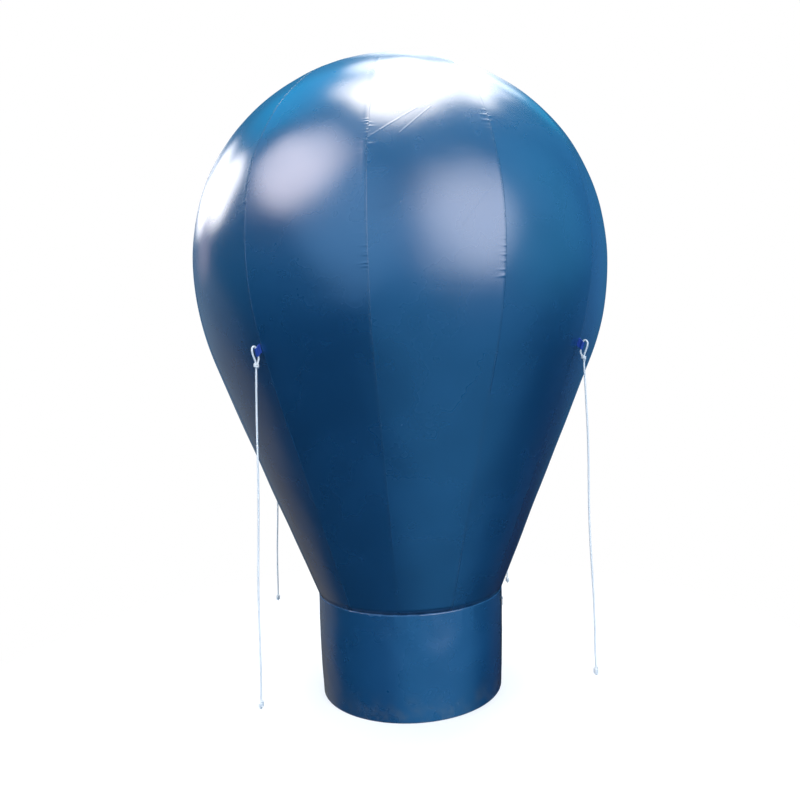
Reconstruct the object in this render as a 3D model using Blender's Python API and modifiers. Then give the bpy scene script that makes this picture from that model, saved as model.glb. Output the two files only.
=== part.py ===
"""Bulb-shaped advertising balloon on a round inflated base, 3.2 m tall.

Twelve sewn fabric gores run from the neck to a crown patch. The base below the neck is a fabric
wall closed by one zip, with a floor panel, an intake window at the back and the blower inside.
Four webbing loops in every third seam each carry a knotted white rope.
Metres, +Z up, the floor at Z = 0, and the photograph's camera on the -Y side.
"""

import math

import bmesh
import bpy
from mathutils import Matrix, Vector

# Envelope, outer sizes
TOTAL_HEIGHT = 3.20
BELLY_RADIUS = 1.06
BELLY_HEIGHT = 2.15
SHOULDER_RADIUS = 1.30  # radius of the arc from the cone up to the belly
NECK_RADIUS = 0.468
BASE_HEIGHT = 0.487
FOOT_RADIUS = 0.451
FOOT_ROUNDING = 0.008
CROWN_RADIUS = 0.11
SHELL = 0.010
GAP = 0.0003  # left between pieces that are sewn or rest on each other

GORES = 12
FIRST_SEAM = -127.7  # degrees about +Z from +X: the seam of the left loop
GORE_STEPS = 4
GORE_SWEEP = 360.0 / GORES
SEAM_GAP = math.degrees(1.5 * GAP / BELLY_RADIUS)

# Base: zip, intake window and blower
BASE_SIDES = 72
ZIP_ANGLE = -14.5
ZIP_WIDTH = 0.040
ZIP_THICKNESS = 0.004
ZIP_RECESS = 0.0015
SLIDER_HEIGHT = 0.440
WINDOW_ANGLE = 90.0
WINDOW_SWEEP = 30.0
WINDOW_LOW = 0.120
WINDOW_HIGH = 0.330
WINDOW_THICKNESS = 0.006
BLOWER_SIZE = (0.34, 0.34, 0.30)

# Rope loops
LOOP_HEIGHT = 1.696  # where the middle of a webbing loop meets its seam
LOOP_EVERY = 3  # a loop in every third seam
WEBBING_WIDTH = 0.038
WEBBING_PLY = 0.002
LOOP_REACH = 0.023  # seam to the middle of the eye
LOOP_SAG = 0.008  # how far the eye slides down along the seam
ROPE_DIAMETER = 0.008
EYE_RADIUS = 0.0046
KNOT_RADIUS = 0.010
KNOT_HEIGHT = 0.020
KNOT_OUTWARD = 0.005  # knot's axis, outward of the eye
KNOT_DROP = 0.047  # knot's top, below the eye
END_KNOT_RADIUS = 0.012
END_KNOT_HEIGHT = 0.024
ROPE_POINTS = 60

# The rope's turn through the eye: (outward, upward) from the eye, in metres
STRAND_LEG = 0.006  # upright foot of each strand on the knot
OUTER_STRAND = [(0.0145, -0.0270), (0.0205, -0.0140), (0.0238, -0.0030)]
BEND_OVER = [(0.0252, 0.0060), (0.0245, 0.0140), (0.0208, 0.0198), (0.0150, 0.0222)]
INNER_STRAND = [(-0.0080, -0.0310)]
THROUGH_EYE = [1.14, 1.0, 0.5, 0.0, -0.5, -1.0, -1.28]  # shares of half the webbing's width
BIGHT_POINTS = 38

# The rope below its knot: (outward, sideways, down) in metres
ROPE_ROUTE = [
    (0.0000, 0.0000, 0.000),
    (0.0000, 0.0000, 0.030),
    (0.0010, 0.0005, 0.090),
    (0.0022, 0.0018, 0.180),
    (0.0030, 0.0036, 0.270),
    (0.0026, 0.0048, 0.360),
    (0.0012, 0.0042, 0.450),
    (-0.0006, 0.0020, 0.540),
    (-0.0018, -0.0010, 0.630),
    (-0.0016, -0.0034, 0.720),
    (-0.0002, -0.0044, 0.810),
    (0.0016, -0.0034, 0.900),
    (0.0028, -0.0008, 0.990),
    (0.0026, 0.0020, 1.080),
    (0.0012, 0.0034, 1.170),
    (0.0002, 0.0030, 1.250),
    (0.0000, 0.0026, 1.300),
    (0.0000, 0.0026, 1.330),
]


def clear_scene():
    for obj in list(bpy.data.objects):
        bpy.data.objects.remove(obj)


def new_collection(name):
    collection = bpy.data.collections.new(name)
    bpy.context.scene.collection.children.link(collection)
    return collection


def new_material(name, colour, roughness, metallic=0.0):
    material = bpy.data.materials.new(name)
    material.use_nodes = True
    shader = material.node_tree.nodes["Principled BSDF"]
    shader.inputs["Base Color"].default_value = (*colour, 1.0)
    shader.inputs["Roughness"].default_value = roughness
    shader.inputs["Metallic"].default_value = metallic
    material.diffuse_color = (*colour, 1.0)
    return material


def add_part(name, data, material):
    obj = bpy.data.objects.new(name, data)
    data.materials.append(material)
    parts.objects.link(obj)
    return obj


def smooth_faces(mesh):
    for polygon in mesh.polygons:
        polygon.use_smooth = True


def mesh_from(bm, name):
    bmesh.ops.recalc_face_normals(bm, faces=bm.faces)
    mesh = bpy.data.meshes.new(name)
    bm.to_mesh(mesh)
    bm.free()
    return mesh


def sector(name, section, start, end, steps, material):
    """A closed (radius, height) section turned about Z from start to end, in degrees."""
    bm = bmesh.new()
    first = Matrix.Rotation(math.radians(start), 3, "Z")
    corners = [bm.verts.new(first @ Vector((r, 0.0, z))) for r, z in section]
    face = bm.faces.new(corners)
    bmesh.ops.spin(
        bm,
        geom=[face, *face.edges, *corners],
        cent=(0, 0, 0),
        axis=(0, 0, 1),
        angle=math.radians(end - start),
        steps=steps,
        use_duplicate=False,
    )
    return add_part(name, mesh_from(bm, name), material)


def turned(name, profile, material, steps=24):
    """A (radius, height) profile, outer side top to bottom, turned fully about Z."""
    mesh = bpy.data.meshes.new(name)
    points = [(r, 0.0, z) for r, z in profile]
    edges = [(i, i + 1) for i in range(len(points) - 1)]
    mesh.from_pydata(points, edges, [])
    obj = add_part(name, mesh, material)
    screw = obj.modifiers.new("Turn", "SCREW")
    screw.steps = steps
    screw.render_steps = steps
    screw.use_merge_vertices = True
    screw.merge_threshold = 0.00001
    screw.use_smooth_shade = True
    return obj


def arc(centre, radius, start, end, count):
    """Points on an arc in the (radius, height) plane, angles in degrees from outward."""
    angles = [math.radians(start + (end - start) * i / count) for i in range(count + 1)]
    return [(centre[0] + radius * math.cos(a), centre[1] + radius * math.sin(a)) for a in angles]


def cone_angle():
    """Half angle of the cone that leaves the neck and meets the shoulder arc."""
    inward = BELLY_RADIUS - SHOULDER_RADIUS - NECK_RADIUS
    up = BELLY_HEIGHT - BASE_HEIGHT
    return math.asin(SHOULDER_RADIUS / math.hypot(inward, up)) + math.atan2(inward, up)


CONE = cone_angle()
SHOULDER_CENTRE = (BELLY_RADIUS - SHOULDER_RADIUS, BELLY_HEIGHT)
DOME_HEIGHT = TOTAL_HEIGHT - BELLY_HEIGHT


def dome_points(lowest_radius, highest_radius, depth, count):
    """Dome points between two radii of the outer skin, pushed inward by depth."""
    low = math.acos(lowest_radius / BELLY_RADIUS)
    high = math.acos(highest_radius / BELLY_RADIUS)
    points = []
    for i in range(count + 1):
        a = low + (high - low) * i / count
        normal = Vector((math.cos(a) * DOME_HEIGHT, math.sin(a) * BELLY_RADIUS)).normalized()
        skin = Vector((math.cos(a) * BELLY_RADIUS, BELLY_HEIGHT + math.sin(a) * DOME_HEIGHT))
        points.append(tuple(skin - normal * depth))
    return points


def gore_side(depth):
    """One face of the gore shell from the neck up to the crown patch."""
    cone_degrees = math.degrees(CONE)
    neck = [(NECK_RADIUS - depth / math.cos(CONE), BASE_HEIGHT)]
    shoulder = arc(SHOULDER_CENTRE, SHOULDER_RADIUS - depth, -cone_degrees, 0.0, 5)
    dome = dome_points(BELLY_RADIUS, CROWN_RADIUS + GAP, depth, 15)
    return neck + cone_middle(neck[0], shoulder[0], 3) + shoulder + dome[1:]


def cone_middle(low, high, count):
    """Points that divide the straight cone into equal stretches."""
    shares = [i / (count + 1) for i in range(1, count + 1)]
    return [(low[0] + (high[0] - low[0]) * s, low[1] + (high[1] - low[1]) * s) for s in shares]


def make_gores(material):
    section = gore_side(0.0) + gore_side(SHELL)[::-1]
    for index in range(GORES):
        start = FIRST_SEAM + index * GORE_SWEEP + SEAM_GAP / 2
        end = start + GORE_SWEEP - SEAM_GAP
        gore = sector(f"gore_{index + 1:02d}", section, start, end, GORE_STEPS, material)
        smooth_faces(gore.data)


def make_crown(material):
    outer = dome_points(CROWN_RADIUS, 0.0, 0.0, 4)
    inner = dome_points(CROWN_RADIUS, 0.0, SHELL, 4)
    inner[-1] = (0.0, inner[-1][1])
    outer[-1] = (0.0, TOTAL_HEIGHT)
    turned("crown_patch", outer[::-1] + inner, material, steps=GORES * GORE_STEPS)


def wall_radius(z):
    return FOOT_RADIUS + (NECK_RADIUS - FOOT_RADIUS) * z / BASE_HEIGHT


def wall_section(low, high, depth, thickness):
    """Section of a panel of the base wall: its outer face lies depth inside the wall's."""
    outer_low = wall_radius(low) - depth
    outer_high = wall_radius(high) - depth
    return [
        (outer_low, low),
        (outer_high, high),
        (outer_high - thickness, high),
        (outer_low - thickness, low),
    ]


def make_base_wall(material):
    top = BASE_HEIGHT - GAP
    centre = (wall_radius(0.0) - FOOT_ROUNDING, FOOT_ROUNDING)
    foot = arc(centre, FOOT_ROUNDING, -90.0, 0.0, 4)
    inner = [(wall_radius(top) - SHELL, top), (wall_radius(0.0) - SHELL, 0.0)]
    section = foot + [(wall_radius(top), top)] + inner
    slot = math.degrees(ZIP_WIDTH / NECK_RADIUS)
    start = ZIP_ANGLE + slot / 2
    wall = sector("base_wall", section, start, start + 360.0 - slot, BASE_SIDES, material)
    hole = wall_section(WINDOW_LOW, WINDOW_HIGH, -0.02, 0.06)
    half = WINDOW_SWEEP / 2
    cutter = sector("window_cutter", hole, WINDOW_ANGLE - half, WINDOW_ANGLE + half, 6, material)
    parts.objects.unlink(cutter)
    cutters.objects.link(cutter)
    cutter.hide_render = True
    cutter.display_type = "WIRE"
    cut = wall.modifiers.new("Window", "BOOLEAN")
    cut.operation = "DIFFERENCE"
    cut.solver = "EXACT"
    cut.object = cutter


def make_window(material):
    section = wall_section(WINDOW_LOW + GAP, WINDOW_HIGH - GAP, 0.002, WINDOW_THICKNESS)
    half = WINDOW_SWEEP / 2 - math.degrees(GAP / NECK_RADIUS)
    sector("intake_window", section, WINDOW_ANGLE - half, WINDOW_ANGLE + half, 6, material)


def make_floor(material):
    """Floor panel, small enough to clear the flats of the wall's many-sided ring."""
    edge = (wall_radius(0.0) - SHELL) * math.cos(math.pi / BASE_SIDES) - GAP
    profile = [(0.0, SHELL), (edge, SHELL), (edge, 0.0), (0.0, 0.0)]
    turned("base_floor", profile, material, steps=BASE_SIDES)


def make_blower(material):
    bpy.ops.mesh.primitive_cube_add(size=1.0)
    blower = bpy.context.object
    blower.name = "blower"
    blower.data.name = "blower"
    blower.dimensions = BLOWER_SIZE
    blower.location = (0.0, 0.0, SHELL + GAP + BLOWER_SIZE[2] / 2)
    blower.data.materials.append(material)
    for collection in list(blower.users_collection):
        collection.objects.unlink(blower)
    parts.objects.link(blower)


def make_zip(material):
    section = wall_section(0.0, BASE_HEIGHT - 2 * GAP, ZIP_RECESS, ZIP_THICKNESS)
    half = math.degrees((ZIP_WIDTH / 2 - GAP) / NECK_RADIUS)
    sector("zip_chain", section, ZIP_ANGLE - half, ZIP_ANGLE + half, 2, material)


def box_mesh(name, size, centre):
    bm = bmesh.new()
    bmesh.ops.create_cube(bm, size=1.0)
    bmesh.ops.scale(bm, vec=size, verts=bm.verts)
    bmesh.ops.translate(bm, vec=centre, verts=bm.verts)
    return mesh_from(bm, name)


def make_slider(material):
    """Zip slider with its pull hanging down, as one solid on the zip's outer face."""
    frame = Matrix.Rotation(math.radians(ZIP_ANGLE), 4, "Z")
    face = wall_radius(SLIDER_HEIGHT) - ZIP_RECESS + GAP
    body = box_mesh("zip_slider", (0.006, 0.012, 0.016), (face + 0.003, 0.0, SLIDER_HEIGHT))
    pull = box_mesh("zip_pull", (0.003, 0.007, 0.034), (face + 0.0065, 0.0, SLIDER_HEIGHT - 0.015))
    slider = add_part("zip_slider", body, material)
    slider.matrix_world = frame
    tool = bpy.data.objects.new("zip_pull_tool", pull)
    cutters.objects.link(tool)
    tool.hide_render = True
    tool.display_type = "WIRE"
    tool.matrix_world = frame
    join = slider.modifiers.new("Pull", "BOOLEAN")
    join.operation = "UNION"
    join.solver = "EXACT"
    join.object = tool


def seam_at(height):
    """Radius of the seam at a height, and its lean from the vertical, on the gores' straight facets."""
    points = gore_side(0.0)
    for low, high in zip(points, points[1:]):
        if low[1] <= height < high[1]:
            lean = math.atan2(high[0] - low[0], high[1] - low[1])
            return low[0] + math.tan(lean) * (height - low[1]), lean
    raise ValueError("no seam at that height")


def loop_frame(angle):
    """Seam point, outward normal, side direction and upward seam direction of one loop."""
    turn = Matrix.Rotation(math.radians(angle), 3, "Z")
    radius, lean = seam_at(LOOP_HEIGHT)
    point = turn @ Vector((radius, 0.0, LOOP_HEIGHT))
    normal = turn @ Vector((math.cos(lean), 0.0, -math.sin(lean)))
    side = turn @ Vector((0.0, 1.0, 0.0))
    return point, normal, side, normal.cross(side)


def eye_centre(angle):
    point, normal, _, up = loop_frame(angle)
    return point + normal * LOOP_REACH - up * LOOP_SAG


def filled_outline(name, outlines, half_depth):
    """A flat outline with holes as a 2D curve, made a mesh with its caps welded."""
    curve = bpy.data.curves.new(name, "CURVE")
    curve.dimensions = "2D"
    curve.fill_mode = "BOTH"
    curve.extrude = half_depth
    for outline in outlines:
        spline = curve.splines.new("POLY")
        spline.points.add(len(outline) - 1)
        for point, (x, y) in zip(spline.points, outline):
            point.co = (x, y, 0.0, 1.0)
        spline.use_cyclic_u = True
    holder = bpy.data.objects.new(name + "_outline", curve)
    parts.objects.link(holder)
    graph = bpy.context.evaluated_depsgraph_get()
    mesh = bpy.data.meshes.new_from_object(holder.evaluated_get(graph))
    bpy.data.objects.remove(holder)
    bm = bmesh.new()
    bm.from_mesh(mesh)
    bmesh.ops.remove_doubles(bm, verts=bm.verts, dist=0.00001)
    bm.to_mesh(mesh)
    bm.free()
    return mesh


def make_loop(name, angle, material):
    """Folded webbing: two plies out from the seam, open only where the rope runs through."""
    point, normal, side, up = loop_frame(angle)
    outer = EYE_RADIUS + WEBBING_PLY
    ply_meets_eye = math.degrees(math.asin(WEBBING_PLY / outer))
    bend = arc((LOOP_REACH, 0.0), outer, ply_meets_eye - 180.0, 180.0 - ply_meets_eye, 16)
    outline = [(GAP, WEBBING_PLY), (GAP, -WEBBING_PLY)] + bend
    hole = arc((LOOP_REACH, 0.0), EYE_RADIUS, 0.0, 360.0, 16)[:-1]
    mesh = filled_outline(name, [outline, hole], WEBBING_WIDTH / 2)
    sag = LOOP_SAG / LOOP_REACH
    outward = normal - up * sag
    place = Matrix((outward, side, up)).transposed().to_4x4()
    place.translation = point
    mesh.transform(place)
    add_part(name, mesh, material)


def smooth_path(points, count):
    """Evenly spaced points on a Catmull-Rom curve through the given points."""
    points = [Vector(p) for p in points]
    before = points[0] * 2 - points[1]
    after = points[-1] * 2 - points[-2]
    ring = [before, *points, after]
    fine = []
    for a, b, c, d in zip(ring, ring[1:], ring[2:], ring[3:]):
        for step in range(12):
            t = step / 12
            bend = (b * 3 - a - c * 3 + d) * t**3 + (a * 2 - b * 5 + c * 4 - d) * t**2
            fine.append((bend + (c - a) * t + b * 2) / 2)
    fine.append(points[-1])
    lengths = [0.0]
    for p, q in zip(fine, fine[1:]):
        lengths.append(lengths[-1] + (q - p).length)
    even = []
    k = 0
    for i in range(count):
        target = lengths[-1] * i / (count - 1)
        while k < len(fine) - 2 and lengths[k + 1] < target:
            k += 1
        share = (target - lengths[k]) / (lengths[k + 1] - lengths[k])
        even.append(fine[k].lerp(fine[k + 1], share))
    return even


def tube(name, path, diameter, material):
    curve = bpy.data.curves.new(name, "CURVE")
    curve.dimensions = "3D"
    curve.bevel_depth = diameter / 2
    curve.bevel_resolution = 2
    curve.use_fill_caps = True
    spline = curve.splines.new("POLY")
    spline.points.add(len(path) - 1)
    for point, place in zip(spline.points, path):
        point.co = (*place, 1.0)
    return add_part(name, curve, material)


def outward_and_side(angle):
    turn = math.radians(angle)
    return Vector((math.cos(turn), math.sin(turn), 0.0)), Vector((-math.sin(turn), math.cos(turn), 0.0))


def bight_path(angle):
    """The rope's turn through the eye. Both strands stand upright on the knot."""
    eye = eye_centre(angle)
    _, _, _, up = loop_frame(angle)
    out, _ = outward_and_side(angle)
    outer_foot = KNOT_OUTWARD + KNOT_RADIUS / 2
    inner_foot = KNOT_OUTWARD - KNOT_RADIUS / 2
    foot = -KNOT_DROP + GAP
    upright = foot + STRAND_LEG

    def at(outward, rise):
        return eye + out * outward + Vector((0.0, 0.0, rise))

    outer_strand = [(outer_foot, upright), *OUTER_STRAND, *BEND_OVER]
    inner_strand = [*INNER_STRAND, (inner_foot, upright)]
    through_eye = [eye + up * (share * WEBBING_WIDTH / 2) for share in THROUGH_EYE]
    route = [at(*p) for p in outer_strand] + through_eye + [at(*p) for p in inner_strand]
    return [at(outer_foot, foot), *smooth_path(route, BIGHT_POINTS), at(inner_foot, foot)]


def knot_profile(radius, height):
    """Barrel with flat ends, from the top centre down the outer side to the bottom centre."""
    flat = radius * 0.93
    return [
        (0.0, height / 2),
        (flat, height / 2),
        (radius, height * 0.28),
        (radius, -height * 0.28),
        (flat, -height / 2),
        (0.0, -height / 2),
    ]


def make_knot(name, place, radius, height, material):
    knot = turned(name, knot_profile(radius, height), material, steps=16)
    knot.location = place


def make_rope_set(index, angle, webbing, rope):
    out, side = outward_and_side(angle)
    eye = eye_centre(angle)
    make_loop(f"webbing_loop_{index}", angle, webbing)
    tube(f"rope_bight_{index}", bight_path(angle), ROPE_DIAMETER, rope)
    knot_top = eye + out * KNOT_OUTWARD - Vector((0.0, 0.0, KNOT_DROP))
    knot_middle = knot_top - Vector((0.0, 0.0, KNOT_HEIGHT / 2))
    make_knot(f"rope_knot_{index}", knot_middle, KNOT_RADIUS, KNOT_HEIGHT, rope)
    start = knot_top - Vector((0.0, 0.0, KNOT_HEIGHT + GAP))
    route = [start + out * o + side * s - Vector((0.0, 0.0, d)) for o, s, d in ROPE_ROUTE]
    tube(f"rope_{index}", smooth_path(route, ROPE_POINTS), ROPE_DIAMETER, rope)
    end_middle = route[-1] - Vector((0.0, 0.0, GAP + END_KNOT_HEIGHT / 2))
    make_knot(f"rope_end_knot_{index}", end_middle, END_KNOT_RADIUS, END_KNOT_HEIGHT, rope)


clear_scene()
parts = new_collection("advertising_balloon")
cutters = new_collection("cutters")

blue_fabric = new_material("blue_fabric", (0.016, 0.092, 0.210), 0.36)
blue_webbing = new_material("blue_webbing", (0.012, 0.055, 0.300), 0.55)
white_rope = new_material("white_rope", (0.860, 0.860, 0.850), 0.60)
black_zip = new_material("black_zip", (0.020, 0.020, 0.024), 0.45)
black_mesh = new_material("black_mesh", (0.025, 0.027, 0.032), 0.70)
blower_plastic = new_material("blower_plastic", (0.080, 0.085, 0.095), 0.50)

make_gores(blue_fabric)
make_crown(blue_fabric)
make_base_wall(blue_fabric)
make_floor(blue_fabric)
make_zip(black_zip)
make_slider(black_zip)
make_window(black_mesh)
make_blower(blower_plastic)
for loop_index in range(GORES // LOOP_EVERY):
    loop_angle = FIRST_SEAM + loop_index * LOOP_EVERY * GORE_SWEEP
    make_rope_set(loop_index + 1, loop_angle, blue_webbing, white_rope)
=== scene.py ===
# %% [markdown]
# # A bulb-shaped advertising balloon
# The real object is a light bulb of blue coated cloth, 3.2 m tall. A blower in its round base keeps it
# tight. Twelve sewn gores run up to a crown patch, and four webbing loops carry white tether ropes.
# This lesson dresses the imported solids: each cloth panel becomes a thin sheet with its own seams and
# puckers, each rope a braided line, and each surface gets a finish made from nodes.

import math

import bmesh
import bpy
import numpy as np
from mathutils import Matrix, Vector


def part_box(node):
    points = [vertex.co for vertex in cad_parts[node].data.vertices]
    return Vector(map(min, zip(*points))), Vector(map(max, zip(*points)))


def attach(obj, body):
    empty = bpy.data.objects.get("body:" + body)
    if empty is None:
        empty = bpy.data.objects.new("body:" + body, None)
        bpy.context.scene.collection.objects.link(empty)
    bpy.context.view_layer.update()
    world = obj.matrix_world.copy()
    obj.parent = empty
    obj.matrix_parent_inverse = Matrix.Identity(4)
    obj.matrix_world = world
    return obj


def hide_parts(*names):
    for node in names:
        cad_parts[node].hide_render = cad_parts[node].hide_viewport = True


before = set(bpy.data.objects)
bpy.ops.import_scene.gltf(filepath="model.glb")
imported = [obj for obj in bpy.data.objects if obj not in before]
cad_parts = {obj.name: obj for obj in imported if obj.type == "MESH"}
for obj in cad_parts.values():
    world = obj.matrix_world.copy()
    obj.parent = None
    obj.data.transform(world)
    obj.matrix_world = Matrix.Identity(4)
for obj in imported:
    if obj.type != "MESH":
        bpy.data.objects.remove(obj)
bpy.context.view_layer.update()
print("packed nodes:", len(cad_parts))

# %% [markdown]
# ## Camera
# The photograph was taken from about 3.7 m away, held at 1.56 m, with the lens a little off the middle
# of the frame because the picture was cropped. A camera can be placed by eye, but the outline and the
# seams fix it much better, so its place, turn and focal length are those that put them on the picture.

# %% Camera at the photograph's viewpoint
CAMERA_PLACE = Vector((0.0, -3.719, 1.559))
CAMERA_YAW = 0.036  # radians, to the right of straight ahead
CAMERA_PITCH = 0.052  # radians, above level
CAMERA_ROLL = -0.027
FOCAL_LENGTH = 31.76  # millimetres on a 36 mm sensor
PICTURE_SIDE = 800
AXIS_PIXEL = (430, 340)  # where the lens axis meets the picture

ahead = Vector((
    math.sin(CAMERA_YAW) * math.cos(CAMERA_PITCH),
    math.cos(CAMERA_YAW) * math.cos(CAMERA_PITCH),
    math.sin(CAMERA_PITCH),
))
level_right = Vector((math.cos(CAMERA_YAW), -math.sin(CAMERA_YAW), 0.0))
level_up = level_right.cross(ahead)
camera_right = level_right * math.cos(CAMERA_ROLL) + level_up * math.sin(CAMERA_ROLL)
camera_up = level_up * math.cos(CAMERA_ROLL) - level_right * math.sin(CAMERA_ROLL)
camera_data = bpy.data.cameras.new("camera")
camera_data.sensor_width = 36.0
camera_data.lens = FOCAL_LENGTH
camera_data.shift_x = (PICTURE_SIDE / 2 - AXIS_PIXEL[0]) / PICTURE_SIDE
camera_data.shift_y = (AXIS_PIXEL[1] - PICTURE_SIDE / 2) / PICTURE_SIDE
camera_data.clip_end = 60.0
camera = bpy.data.objects.new("camera", camera_data)
camera.matrix_world = Matrix.Translation(CAMERA_PLACE) @ Matrix(
    (camera_right, camera_up, -ahead)
).transposed().to_4x4()
bpy.context.scene.collection.objects.link(camera)
bpy.context.scene.camera = camera
print("camera shift:", round(camera_data.shift_x, 4), round(camera_data.shift_y, 4))

# %% [markdown]
# ## Sizes and the envelope's profile
# A bulb balloon is a turned form: a straight cone, a shoulder arc that meets it smoothly, and half an
# ellipse for the dome. One function gives that line, so the cloth, the loops and the ropes that hang
# from them all read the same curve, and nothing has to be fitted afterwards.

# %% Profile from the neck seam to the crown
TOTAL_HEIGHT = 3.20
BELLY_RADIUS = 1.06
BELLY_HEIGHT = 2.15
SHOULDER_RADIUS = 1.30
NECK_RADIUS = 0.468
BASE_HEIGHT = 0.487
FOOT_RADIUS = 0.451
CROWN_RADIUS = 0.11
GORES = 12
FIRST_SEAM = -127.7  # degrees about +Z from +X
GORE_SWEEP = 360.0 / GORES
PROFILE_STEPS = 500  # on each of the cone, the shoulder and the dome


def profile_line():
    """Radius and height of the outer skin, neck to crown."""
    inward = BELLY_RADIUS - SHOULDER_RADIUS - NECK_RADIUS
    rise = BELLY_HEIGHT - BASE_HEIGHT
    lean = math.asin(SHOULDER_RADIUS / math.hypot(inward, rise)) + math.atan2(inward, rise)
    arc = np.linspace(-lean, 0.0, PROFILE_STEPS)
    shoulder_radius = BELLY_RADIUS - SHOULDER_RADIUS * (1.0 - np.cos(arc))
    shoulder = np.stack([shoulder_radius, BELLY_HEIGHT + SHOULDER_RADIUS * np.sin(arc)], 1)
    cone = np.linspace((NECK_RADIUS, BASE_HEIGHT), shoulder[0], PROFILE_STEPS)
    climb = np.linspace(0.0, math.acos(CROWN_RADIUS / BELLY_RADIUS), PROFILE_STEPS)
    dome_height = BELLY_HEIGHT + (TOTAL_HEIGHT - BELLY_HEIGHT) * np.sin(climb)
    dome = np.stack([BELLY_RADIUS * np.cos(climb), dome_height], 1)
    return np.concatenate([cone, shoulder[1:], dome[1:]])


def length_along(points):
    """Distance from the first point to each point along a line of points."""
    steps = np.linalg.norm(np.diff(points, axis=0), axis=1)
    return np.concatenate([[0.0], np.cumsum(steps)])


skin = profile_line()
skin_length = length_along(skin)
skin_tangent = np.gradient(skin, skin_length, axis=0)


def on_skin(level):
    """Radius, height and outward normal (radial, upward) at a length up from the neck seam."""
    radius, height, radial_run, upward_run = (
        np.interp(level, skin_length, values)
        for values in (skin[:, 0], skin[:, 1], skin_tangent[:, 0], skin_tangent[:, 1])
    )
    return radius, height, upward_run, -radial_run


def level_of(height):
    return float(np.interp(height, skin[:, 1], skin_length))


print("cloth from neck to crown:", round(float(skin_length[-1]), 3), "m")

# %% [markdown]
# ## Helpers for pieces and paths
# Every finished piece rides on the one body, sits at the origin and takes its finish as its material. A
# rope is a smooth curve through listed points: a Catmull-Rom curve passes through each of them, so the
# points can be set where the rope really goes. The tube that follows it is a bevelled curve turned into
# a mesh, with its UV map in metres so that a braid keeps its real size.

# %% Helpers: pieces and their meshes


def add_piece(name, mesh, material, slot, *replaced):
    """A finished mesh as a piece of the object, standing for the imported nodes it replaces."""
    mesh.name = name
    mesh.materials.clear()
    mesh.materials.append(material)
    mesh.shade_smooth()
    piece = bpy.data.objects.new(name, mesh)
    bpy.context.scene.collection.objects.link(piece)
    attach(piece, "root")
    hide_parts(*replaced)
    return piece


def mesh_of(bm, name, weld=0.0):
    """The mesh of a bmesh, welded and with its faces turned outwards where a weld is given."""
    if weld:
        bmesh.ops.remove_doubles(bm, verts=bm.verts, dist=weld)
        bmesh.ops.recalc_face_normals(bm, faces=bm.faces)
    mesh = bpy.data.meshes.new(name)
    bm.to_mesh(mesh)
    bm.free()
    return mesh


def spun_mesh(name, section, steps, weld, closed=False):
    """A line of (radius, height) points, or a closed ring of them, spun a full turn about Z."""
    bm = bmesh.new()
    line = [bm.verts.new((radius, 0.0, height)) for radius, height in section]
    following = line[1:] + line[:1] if closed else line[1:]
    edges = [bm.edges.new(pair) for pair in zip(line, following)]
    bmesh.ops.spin(
        bm, geom=line + edges, cent=(0, 0, 0), axis=(0, 0, 1), angle=math.tau, steps=steps, use_merge=True
    )
    return mesh_of(bm, name, weld)


# %% Helpers: smooth paths and tubes
TUBE_RESOLUTION = 4  # a bevelled curve with this resolution has twelve sides
CURVE_STEPS = 16  # points worked out between two points of a route


def smooth_path(points, spacing):
    """Evenly spaced points on a Catmull-Rom curve through the given points."""
    knots = np.array(points, float)
    ring = np.concatenate([[2 * knots[0] - knots[1]], knots, [2 * knots[-1] - knots[-2]]])
    t = np.linspace(0.0, 1.0, CURVE_STEPS, endpoint=False)[:, None]
    pieces = []
    for a, b, c, d in zip(ring, ring[1:], ring[2:], ring[3:]):
        bend = (2 * a - 5 * b + 4 * c - d) * t**2 + (3 * b - a - 3 * c + d) * t**3
        pieces.append((2 * b + (c - a) * t + bend) / 2)
    fine = np.concatenate([*pieces, knots[-1:]])
    reach = length_along(fine)
    even = np.linspace(0.0, reach[-1], round(reach[-1] / spacing) + 1)
    return np.stack([np.interp(even, reach, fine[:, k]) for k in range(3)], 1)


def tube_mesh(name, path, radius):
    """A tube along a path, with closed ends and a UV map in metres: along it and round it."""
    curve = bpy.data.curves.new(name, "CURVE")
    curve.dimensions = "3D"
    curve.bevel_depth = radius
    curve.bevel_resolution = TUBE_RESOLUTION
    curve.use_fill_caps = True
    spline = curve.splines.new("POLY")
    spline.points.add(len(path) - 1)
    spline.points.foreach_set("co", np.c_[path, np.ones(len(path))].ravel())
    holder = bpy.data.objects.new(name + "_line", curve)
    bpy.context.scene.collection.objects.link(holder)
    graph = bpy.context.evaluated_depsgraph_get()
    mesh = bpy.data.meshes.new_from_object(holder.evaluated_get(graph))
    bpy.data.objects.remove(holder)
    bm = bmesh.new()
    bm.from_mesh(mesh)
    bmesh.ops.remove_doubles(bm, verts=bm.verts, dist=0.00001)
    bm.to_mesh(mesh)
    bm.free()
    unwrapped = mesh.uv_layers[0].uv
    values = np.empty(len(unwrapped) * 2, np.float32)
    unwrapped.foreach_get("vector", values)
    values = values.reshape(-1, 2) * (length_along(path)[-1], math.tau * radius)
    unwrapped.foreach_set("vector", values.astype(np.float32).ravel())
    return mesh


# %% [markdown]
# ## Helpers for materials
# A finish is a small network of nodes. These helpers keep each network short: one adds a Math node fed
# by sockets or plain numbers, one does the same for vectors, and one starts a node group with named
# inputs and outputs. All bump heights are in metres, so a weave 0.1 mm deep is written as 0.0001.

# %% Helpers: single nodes


def wire(tree, value, socket):
    """Feeds a socket from another socket or sets it to a plain value."""
    if isinstance(value, bpy.types.NodeSocket):
        tree.links.new(value, socket)
    else:
        socket.default_value = value


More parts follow.
